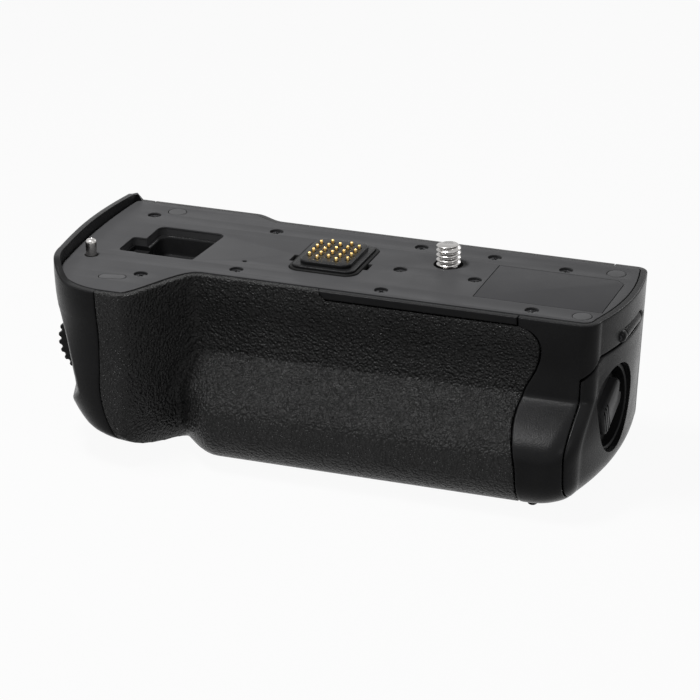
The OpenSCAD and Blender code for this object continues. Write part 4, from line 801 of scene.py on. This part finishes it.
def rear_panel():
    heights = mix(-RIM_DROP, PANEL_BOTTOM, height_lines(0.4))
    x = mix(REAR_LEFT_X, REAR_RIGHT_X, lines(128.8, 1.3, 0.4))
    x, z = np.meshgrid(x, heights)
    return panel(rear_station(x, z), z, SHELL_T, 0.4)


slot_x = math.sqrt(WHEEL_R ** 2 - (MAIN_REAR - 2 * SHELL_T) ** 2) + 0.6
cutters = [rbar(2 * slot_x, WHEEL_T + 0.6, 1.2, [(0, -20), (0, 20)]),
           block((REAR_DIAL_X - 3.5, REAR_DIAL_Y, REAR_DIAL_Z - 8), (REAR_DIAL_X + 3.5, 30, REAR_DIAL_Z + 8))]
cutters[0] = moved(cutters[0], (0, MAIN_REAR, WHEEL_LOW + WHEEL_T / 2), ON_REAR)
cutters += [rear_place(disc(r, [(0, -5.2), (0, 5.2)], 56), p)
            for r, p in ((3.7, FOCUS), (2.8, DISPLAY), (5.75, STICK))]
piece("rear_wall", boolean(rear_panel(), merge(*cutters)), CASING, "grip", "rear_shell", sharp=50)

wheel = moved(ridged(WHEEL_R, WHEEL_T, 60, 0.45, 3.02), (0, 0, WHEEL_LOW))
piece("thumb_wheel_rim", wheel, SCREW, "mount_wheel", "thumb_wheel", sharp=45)
dial = ridged(REAR_DIAL_R, REAR_DIAL_T, 36, 0.5, 1.05)
dial = moved(dial, (REAR_DIAL_X - REAR_DIAL_T / 2, REAR_DIAL_Y, REAR_DIAL_Z), ON_LOCK)
piece("rear_dial_ridges", dial, BUTTON, "rear_dial", "rear_dial", sharp=45)
piece("focus_key", rear_place(press_button(3.4, 4.6, 0.25), FOCUS), BUTTON, "focus_button", "focus_button",
      sharp=50)
piece("display_key", rear_place(press_button(2.5, 4.6), DISPLAY), BUTTON, "display_button", "display_button",
      sharp=50)

cap = [(1.2, -5.4), (1.2, 0.9), (2.6, 0.85), (3.2, 0.95), (3.4, 1.2), (3.4, 1.75), (3.2, 2.15), (2.8, 2.35),
       (2.4, 2.4), (1.6, 2.2), (0.8, 2.05), (0, 2.0)]
dot = lathe([(0.34, 1.6), (0.34, 2.25), (0.24, 2.36), (0, 2.4)], 16)
dots = merge(*[moved(dot, (1.25 * math.cos(q), 1.25 * math.sin(q), 0)) for q in np.arange(8) * PI / 4])
piece("joystick_top", rear_place(merge(lathe(cap), dots), STICK), SEAL, "stick", "joystick_cap", sharp=45)
ring = lathe([(4.5, -3.4), (5.6, -3.4), (5.6, 0.5), (5.45, 0.75), (5.1, 0.9), (4.8, 0.8), (4.5, 0.4)], 64,
             wrap=True)
piece("joystick_ring", rear_place(ring, STICK), CASING, "grip", "joystick_collar", sharp=40)

THUMB_LEFT, THUMB_RIGHT, THUMB_TOP, THUMB_LOW, THUMB_R = -50.0, -24.0, -9.0, -38.0, 5.0
v = lines(29.0, 0.7, 0.5)
depth = np.minimum(v, 1 - v) * 29.0
inset = THUMB_R - np.sqrt(np.maximum(THUMB_R ** 2 - np.clip(THUMB_R - depth, 0, THUMB_R) ** 2, 0))
u = lines(26.0, 0.8, 0.5)
x = mix((THUMB_LEFT + inset)[:, None], (THUMB_RIGHT - inset)[:, None], u)
z = np.repeat(mix(THUMB_TOP, THUMB_LOW, v)[:, None], len(u), 1)
piece("thumb_rest", panel(rear_station(x, z), z, -0.02, 0.5, 0.7), RUBBER, "grip", "thumb_rubber", sharp=60)

# Mounting face
SCREW_PLACES = [(-85, 8), (-71.7, -32.8), (-49.9, -21.7), (-49.9, 7.3), (-10.3, 9.2), (-10.4, -7.7),
                (-10.4, -22.7), (9.7, -8.1), (9.8, 8.6), (29.6, 6.2), (29.2, -22.8)]
PAD_PLACES = [(-80.1, 12.2), (42.4, 8), (42.1, -22.6)]
LOCATOR, SMALL_HOLE = (-89.0, -24.6), (-50.0, -15.6)
CONNECTOR = (-28.85, -6.25)
POCKET_L, POCKET_R, POCKET_F, POCKET_B, POCKET_C = -80.2, -61.7, -19.3, 0.8, 2.2
NOTCH_L, NOTCH_F, NOTCH_B, NOTCH_R = -83.9, -19.0, -8.8, 1.2
LABEL_L, LABEL_R, LABEL_F, LABEL_B, LABEL_CUT = 12.7, 46.1, -18.9, 3.5, 2.0
LONG_PAD = ((-77.8, -37), 14)


def ring_at(r, place, n=40):
    return circle(r, 0, n) + np.array([place[0], place[1], 0])


def pocket_loop():
    """The cap pocket's opening, with a rounded notch at its left."""
    centre = (POCKET_L + POCKET_R) / 2, (POCKET_F + POCKET_B) / 2
    loop = rrect(POCKET_R - POCKET_L, POCKET_B - POCKET_F, POCKET_C, 0, *centre, 9)[:, :2]
    cut = [i for i, p in enumerate(loop) if p[0] < POCKET_L + 1e-6 and p[1] > NOTCH_B]
    head = list(loop[: cut[-1] + 1])
    arc = [p for p in loop[cut[-1] + 1:] if p[1] < NOTCH_F]
    c = POCKET_C - (NOTCH_F - POCKET_F)
    touch = POCKET_L + POCKET_C - math.sqrt(max(POCKET_C ** 2 - c * c, 0))
    turn, x = np.linspace(PI / 2, PI, 7), NOTCH_L + NOTCH_R
    upper = [(x + NOTCH_R * math.cos(a), NOTCH_B - NOTCH_R + NOTCH_R * math.sin(a)) for a in turn]
    lower = [(x + NOTCH_R * math.cos(a), NOTCH_F + NOTCH_R + NOTCH_R * math.sin(a)) for a in turn + PI / 2]
    return np.array(head + [(POCKET_L, NOTCH_B)] + upper + lower + [(touch, NOTCH_F)] + arc)


def gasket_loop():
    loop = rrect(18.9, 22.5, 3.4, 0, *CONNECTOR, 9)[:, :2]
    half, ear = 9.45, 10.65
    x, y0, y1 = CONNECTOR[0], CONNECTOR[1] - 2.7 - 2.2, CONNECTOR[1] - 2.7 + 2.2
    left = [(x - half, y1), (x - ear, y1), (x - ear, y0), (x - half, y0)]
    right = [(x + half, y0), (x + ear, y0), (x + ear, y1), (x + half, y1)]
    return np.array([*loop[:18], *left, *loop[18:], *right])


def stadium(place, turn, length, width, gap, n=12):
    a = np.arange(n + 1) * PI / n
    r, h = width / 2 + gap, (length - width) / 2
    half = np.stack([h + r * np.sin(a), -r * np.cos(a)], -1)
    loop = np.concatenate([half, -half])
    c, s = math.cos(math.radians(turn)), math.sin(math.radians(turn))
    x, y = loop[:, 0], loop[:, 1]
    return np.stack([place[0] + c * x - s * y, place[1] + s * x + c * y], -1)


def label_loop(gap):
    return np.array([(LABEL_L - gap, LABEL_F - gap), (LABEL_R + gap, LABEL_F - gap),
                     (LABEL_R + gap, LABEL_B - LABEL_CUT), (LABEL_R - LABEL_CUT, LABEL_B + gap),
                     (LABEL_L - gap, LABEL_B + gap)])


outline = plan_loop(0.0, PLATE_INSET)
through = [ring_at(3.825, (0, 0), 64), pocket_loop(), gasket_loop(), ring_at(1.77, LOCATOR),
           ring_at(0.65, SMALL_HOLE, 20)]
heads = [ring_at(1.8, p) for p in SCREW_PLACES]
recesses = [ring_at(2.55, p) for p in PAD_PLACES] + [stadium(*LONG_PAD, 7, 3, 0.15), label_loop(0.15)]
upper = flat_plate(outline, through + heads + recesses, -0.7, 0.0, 0.14)
lower = flat_plate(outline, through + heads, -PLATE_T, -0.7)
piece("mounting_plate", merge(upper, lower), PLATE, "grip", "top_plate", sharp=30, flat_area=0.8)
piece("blank_label", flat_plate(label_loop(0.0), [], -0.6, -0.02, 0.1), LABEL, "grip", "blank_plate",
      sharp=30, flat_area=1.5)
pads = [moved(disc(2.4, roll(-0.7, 0.05, 0.25)), (*p, 0)) for p in PAD_PLACES]
rings = []
for inset, h in roll(-0.7, 0.05, 0.25):
    loop = stadium(*LONG_PAD, 7 - 2 * inset, 3 - 2 * inset, 0.0)
    rings.append(np.c_[loop, np.full(len(loop), h)])
piece("plate_pad_set", merge(*pads, loft(rings)), PAD, "grip", "plate_pads", sharp=45)


def cross_screw(r, t, shank, length, slot):
    """A cross-head screw with its top at height 0."""
    head = lathe([(shank, -length), (shank, -t), (r - 0.1, -t), (r, -t + 0.1), (r, -0.2), (r - 0.08, -0.08),
                  (r - 0.25, -0.02), (0, 0.0)], 40)
    arms = []
    for turn in (20.0, 110.0):
        arm = loft([rrect(slot * 0.55, 0.28, 0.1, -0.75), rrect(slot, 0.52, 0.14, 0.0),
                    rrect(slot * 1.1, 0.6, 0.14, 0.5)])
        arms.append(moved(arm, (0, 0, 0), turned(turn)))
    return boolean(boolean(head, arms[0]), arms[1])


screw = cross_screw(1.65, 0.9, 0.8, 2.6, 2.2)
screws = [moved(screw, (*p, -0.5), turned(37.0 * i)) for i, p in enumerate(SCREW_PLACES)]
piece("plate_screw_set", merge(*screws), SCREW,
      "grip", "plate_screws", sharp=35)

pin = [(2.25, -3.4), (2.25, -2.2), (1.75, -2.2), (1.75, -0.7), (1.45, -0.6), (1.45, 3.5), (1.4, 3.75),
       (1.27, 4.0), (1.05, 4.2), (0.8, 4.28), (0.62, 4.3), (0.5, 4.22), (0.36, 4.0), (0, 3.9)]
piece("locating_stud", moved(lathe(pin), (*LOCATOR, 0)), STEEL, "grip", "locating_pin", sharp=40)

TUB_T, POCKET_DEPTH, LEDGE = 1.2, 7.4, 1.1
tub = block((NOTCH_L - TUB_T, POCKET_F - TUB_T, -POCKET_DEPTH - TUB_T),
            (POCKET_R + TUB_T, POCKET_B + TUB_T, -PLATE_T))
w, l = POCKET_R - POCKET_L - 2 * LEDGE, POCKET_B - POCKET_F - 2 * LEDGE
place = ((POCKET_L + POCKET_R) / 2, (POCKET_F + POCKET_B) / 2)
levels = [(0.8, -POCKET_DEPTH), (0.25, -POCKET_DEPTH + 0.2), (0.0, -POCKET_DEPTH + 0.8), (0.0, -2.75),
          (-0.12, -2.5), (-0.4, -2.25), (-0.45, -1.0)]
hollow = rbar(w, l, POCKET_C, levels, *place)
notch = block((NOTCH_L + LEDGE / 2, NOTCH_F + LEDGE / 2, -3.4), (POCKET_L + 4, NOTCH_B - LEDGE / 2, -1.0))
post = lathe([(1.02, -44.3), (3.0, -44.3), (3.0, -8.3), (1.02, -8.3)], 32, True)
posts = [moved(post, (-69, q, 0)) for q in (-14, -3)]
piece("cap_tray", merge(boolean(boolean(tub, hollow), notch), *posts), CASING, "grip", "cap_pocket", sharp=35)

contacts = [(CONNECTOR[0] + (c - 2) * 2.6, CONNECTOR[1] + (r - (n - 1) / 2) * 2.95)
            for c, n in enumerate((4, 5, 4, 5, 4)) for r in range(n)]
core = rbar(13.8, 17.4, 2.4, roll(-7.6, 1.9, 0.35), *CONNECTOR)
bezel = rbar(16.8, 20.4, 2.4, roll(-7.6, 0.9, 0.3), *CONNECTOR)
tab = block((CONNECTOR[0] - 6.9, CONNECTOR[1] - 13.1, -7.6), (CONNECTOR[0] + 6.9, CONNECTOR[1] + 13.1, -2.2))
housing = boolean(boolean(core, bezel, "UNION"), tab, "UNION")
well = lathe([(0.5, -9), (0.5, 1.55), (0.78, 1.85), (0.8, 3)], 20)
wells = merge(*[moved(well, (*p, 0)) for p in contacts])
piece("contact_block", boolean(housing, wells), CASING, "grip", "connector_housing", sharp=35)
seal = [rrect(*q, *CONNECTOR) for q in [
    (18.6, 22.2, 3.4, -2.2), (18.6, 22.2, 3.4, 0.15), (18.3, 21.9, 3.25, 0.3), (17.8, 21.4, 3.0, 0.35),
    (17.1, 20.7, 2.6, 0.3), (16.84, 20.44, 2.4, 0.1), (16.84, 20.44, 2.4, -2.2)]]
piece("contact_seal", loft(seal, True), SEAL, "grip", "connector_gasket", sharp=45)
tip = lathe([(0.42, -5.9), (0.42, 2.5), (0.38, 2.68), (0.28, 2.82), (0.14, 2.89), (0, 2.9)], 24)
tips = merge(*[moved(tip, (*p, 0)) for p in contacts])
piece("gold_contact_set", tips, GOLD, "contacts", "contact_pins", sharp=50)


def thread(r, low, high, start, end, depth=0.7, pitch=1.27, n=48, inside=False):
    """Radius rings of a screw thread between two heights; it fades in and out over the given lengths."""
    a = np.arange(n) * 2 * PI / n
    rings = []
    for h in np.arange(low, high + 1e-6, pitch / 14):
        turn = np.mod(h / pitch - a / (2 * PI), 1.0)
        wave = np.clip(1.25 * (1 - np.abs(2 * turn - 1)) - 0.12, 0, 1)
        fade = clamp01((h - low) / start) * clamp01((high - h) / end)
        taper = 0 if inside else (1 - clamp01((high - h) / end)) * end
        k = r - depth * (1 - wave) * (fade if inside else 1.0) - taper
        rings.append(np.stack([k * np.cos(a), k * np.sin(a), np.full(n, h)], -1))
    return rings


stud = [circle(r, h) for r, h in [(2.5, -13.77), (2.5, -9.32), (3.0, -9.32), (3.0, -3.5), (5.2, -3.5),
                                  (5.2, -2.7), (5.1, -2.6), (2.675, -2.6), (2.675, -0.3)]]
stud += thread(3.175, 0.0, 5.6, 0.3, 0.55)
piece("camera_screw", loft(stud), STEEL, "mount_wheel", "mount_screw", sharp=50, flat_area=9)

# Base
BASE_SCREWS = [(-69, -14), (-69, -3), (-12, -19), (-12, 8), (28, -19), (28, 8)]
FEET = [(33.6, -33.4), (34, 7), (-68, 7), (-64, -22)]
outline = plan_loop(PANEL_BOTTOM, BASE_INSET)
holes = [ring_at(6.02, (0, 0), 64)] + [ring_at(2.05, p) for p in BASE_SCREWS]
floor_plate = flat_plate(outline, holes, -BODY_H, -BODY_H + 1.4, 0.35)
holes = [ring_at(6.02, (0, 0), 64)] + [ring_at(1.15, p, 24) for p in BASE_SCREWS]
lid = flat_plate(outline, holes, -BODY_H + 1.4, -BODY_H + BASE_T)
holes = [ring_at(8.6, (0, 0), 64)] + [ring_at(3.05, p, 32) for p in BASE_SCREWS]
flange = flat_plate(plan_loop(PANEL_BOTTOM, 1.3), holes, -BODY_H + 1.75, -BODY_H + BASE_T, 0.1)
piece("base_plate", merge(floor_plate, lid, flange), CASING, "grip", "base_cover", sharp=30, flat_area=0.8)
screw = cross_screw(1.9, 0.9, 1.0, 6.0, 2.4)
screws = [moved(screw, (*p, 0.5 - BODY_H), UPSIDE) for p in BASE_SCREWS]
piece("base_screw_set", merge(*screws), SCREW, "grip", "base_screws", sharp=35)
foot = lathe([(0.6, -1.2), (0.9, -1.15), (1.15, -0.95), (1.3, -0.6), (1.35, -0.3), (1.35, 0.0)], 32)
piece("foot_set", merge(*[moved(foot, (*p, -BODY_H)) for p in FEET]), SEAL, "grip", "base_feet", sharp=50)
bore = thread(3.175 + 0.5, -BODY_H + 0.3, -BODY_H + 6.4, 0.6, 0.6, 0.5, inside=True)
socket = [circle(r, h) for r, h in [(3.9, -BODY_H), (5.8, -BODY_H), (6.0, -BODY_H + 0.2), (6.0, -44.3),
                                    (8.5, -44.3), (8.5, -43.3), (6.0, -43.3), (6.0, -38.77), (0.05, -38.77),
                                    (0.05, -39.77), (3.1, -39.77)]]
piece("tripod_bush", loft(socket + bore[::-1], True), STEEL, "grip", "tripod_socket", sharp=45)

# Battery
low, high = (np.array(q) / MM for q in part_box("battery_pack"))
pack = block(low, high, 0.8)
seam = merge(block((low[0] + 6, low[1] - 1, high[2] - 0.25), (low[0] + 6.35, high[1] + 1, high[2] + 1)),
             block((high[0] - 0.4, (low[1] + high[1]) / 2 - 5, (low[2] + high[2]) / 2 - 3),
                   (high[0] + 1, (low[1] + high[1]) / 2 + 5, (low[2] + high[2]) / 2 + 3), 0.3))
blade_y = high[1] - 16.5
slots = merge(*[block((low[0] - 1, blade_y + (q - 1.5) * 4 - 0.9, -29.6),
                      (low[0] + 3.4, blade_y + (q - 1.5) * 4 + 0.9, -23.2)) for q in range(4)])
piece("battery_case", boolean(boolean(pack, seam), slots), BATTERY, "battery", "battery_pack", sharp=35)

# Inner pieces keep their CAD shape
INNER = {CASING: ("front_shell", "battery_chamber", "terminal_block"),
         GREY_STEEL: ("board_posts", "mount_clip", "mount_bracket", "lock_crank", "door_bolt", "strike_plate",
                      "joystick_gimbal"),
         SCREW: ("door_hinge_pin", "front_dial_bracket", "rear_dial_bracket", "front_dial_axle",
                 "rear_dial_axle"),
         GOLD: ("mount_bush", "terminal_blades"),
         BOARD: ("connector_board", "main_board", "shutter_board", "left_button_board", "rear_button_board")}
for look, names in INNER.items():
    for name in names:
        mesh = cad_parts[name].data
        mesh.materials.clear()
        mesh.materials.append(look)

# Studio
scene = bpy.context.scene
scene.view_settings.view_transform = "Standard"


def seen_white(tree, lit, share):
    """Adds plain white for camera, glossy and transmission rays to a shader."""
    path = tree.nodes.new("ShaderNodeLightPath")
    near = tree.nodes.new("ShaderNodeMath")
    near.operation = "MAXIMUM"
    tree.links.new(path.outputs["Is Camera Ray"], near.inputs[0])
    tree.links.new(path.outputs["Is Glossy Ray"], near.inputs[1])
    last = tree.nodes.new("ShaderNodeMath")
    last.operation = "MAXIMUM"
    tree.links.new(near.outputs["Value"], last.inputs[0])
    tree.links.new(path.outputs["Is Transmission Ray"], last.inputs[1])
    weight = tree.nodes.new("ShaderNodeMath")
    weight.operation = "MULTIPLY"
    weight.inputs[1].default_value = share
    tree.links.new(last.outputs["Value"], weight.inputs[0])
    both = tree.nodes.new("ShaderNodeMixShader")
    tree.links.new(weight.outputs["Value"], both.inputs["Fac"])
    tree.links.new(lit, both.inputs[1])
    return both


world = bpy.data.worlds.new("studio")
scene.world = world
world.use_nodes = True
tree = world.node_tree
sky = tree.nodes["Background"]
sky.inputs["Color"].default_value = (1, 1, 1, 1)
sky.inputs["Strength"].default_value = 0.05
white = tree.nodes.new("ShaderNodeBackground")
white.inputs["Color"].default_value = (1, 1, 1, 1)
white.inputs["Strength"].default_value = 1.0
both = seen_white(tree, sky.outputs["Background"], 1.0)
tree.links.new(white.outputs["Background"], both.inputs[2])
tree.links.new(both.outputs["Shader"], tree.nodes["World Output"].inputs["Surface"])

FLOOR_Z = (-BODY_H - 1.2) * MM
floor_mesh = bpy.data.meshes.new("floor")
corners = [(-6, -6, FLOOR_Z), (6, -6, FLOOR_Z), (6, 6, FLOOR_Z), (-6, 6, FLOOR_Z)]
floor_mesh.from_pydata(corners, [], [(0, 1, 2, 3)])
floor = bpy.data.objects.new("floor", floor_mesh)
scene.collection.objects.link(floor)
paper = bpy.data.materials.new("paper")
paper.use_nodes = True
tree = paper.node_tree
matt = tree.nodes.new("ShaderNodeBsdfDiffuse")
matt.inputs["Color"].default_value = (0.5, 0.5, 0.5, 1)
glow = tree.nodes.new("ShaderNodeEmission")
both = seen_white(tree, matt.outputs["BSDF"], 0.94)
tree.links.new(glow.outputs["Emission"], both.inputs[2])
tree.links.new(both.outputs["Shader"], tree.nodes["Material Output"].inputs["Surface"])
floor_mesh.materials.append(paper)


def softbox(name, place, target, size, power):
    light = bpy.data.lights.new(name, "AREA")
    light.shape, light.size, light.size_y, light.energy = "RECTANGLE", size[0], size[1], power
    obj = bpy.data.objects.new(name, light)
    scene.collection.objects.link(obj)
    obj.location = place
    obj.rotation_euler = (Vector(target) - Vector(place)).to_track_quat("-Z", "Y").to_euler()


softbox("overhead", (-0.14, -0.07, 0.36), (-0.03, -0.02, -0.01), (0.12, 0.08), 1.7)
softbox("front_left", (-0.5, -0.2, 0.35), (-0.08, -0.03, -0.02), (0.08, 0.08), 0.3)
softbox("right_fill", (0.35, -0.2, 0.3), (0.04, -0.02, -0.02), (0.06, 0.06), 0.35)
softbox("rear", (0.15, 0.55, 0.3), (-0.02, 0.02, -0.02), (0.15, 0.15), 0.6)

RIGHT = Vector((0.9417, 0.3366, 0.0)).normalized()
FORWARD = Vector((-0.3104, 0.8683, -0.3869)).normalized()
UP = RIGHT.cross(FORWARD)
camera_data = bpy.data.cameras.new("camera")
camera_data.sensor_fit, camera_data.sensor_width, camera_data.lens = "HORIZONTAL", 36.0, 171.4
camera_data.clip_start, camera_data.clip_end = 0.01, 50.0
camera = bpy.data.objects.new("camera", camera_data)
scene.collection.objects.link(camera)
axes = Matrix((RIGHT, UP, -FORWARD)).transposed().to_4x4()
camera.matrix_world = Matrix.Translation(Vector((244.49, -759.03, 310.50)) * MM) @ axes
scene.camera = camera
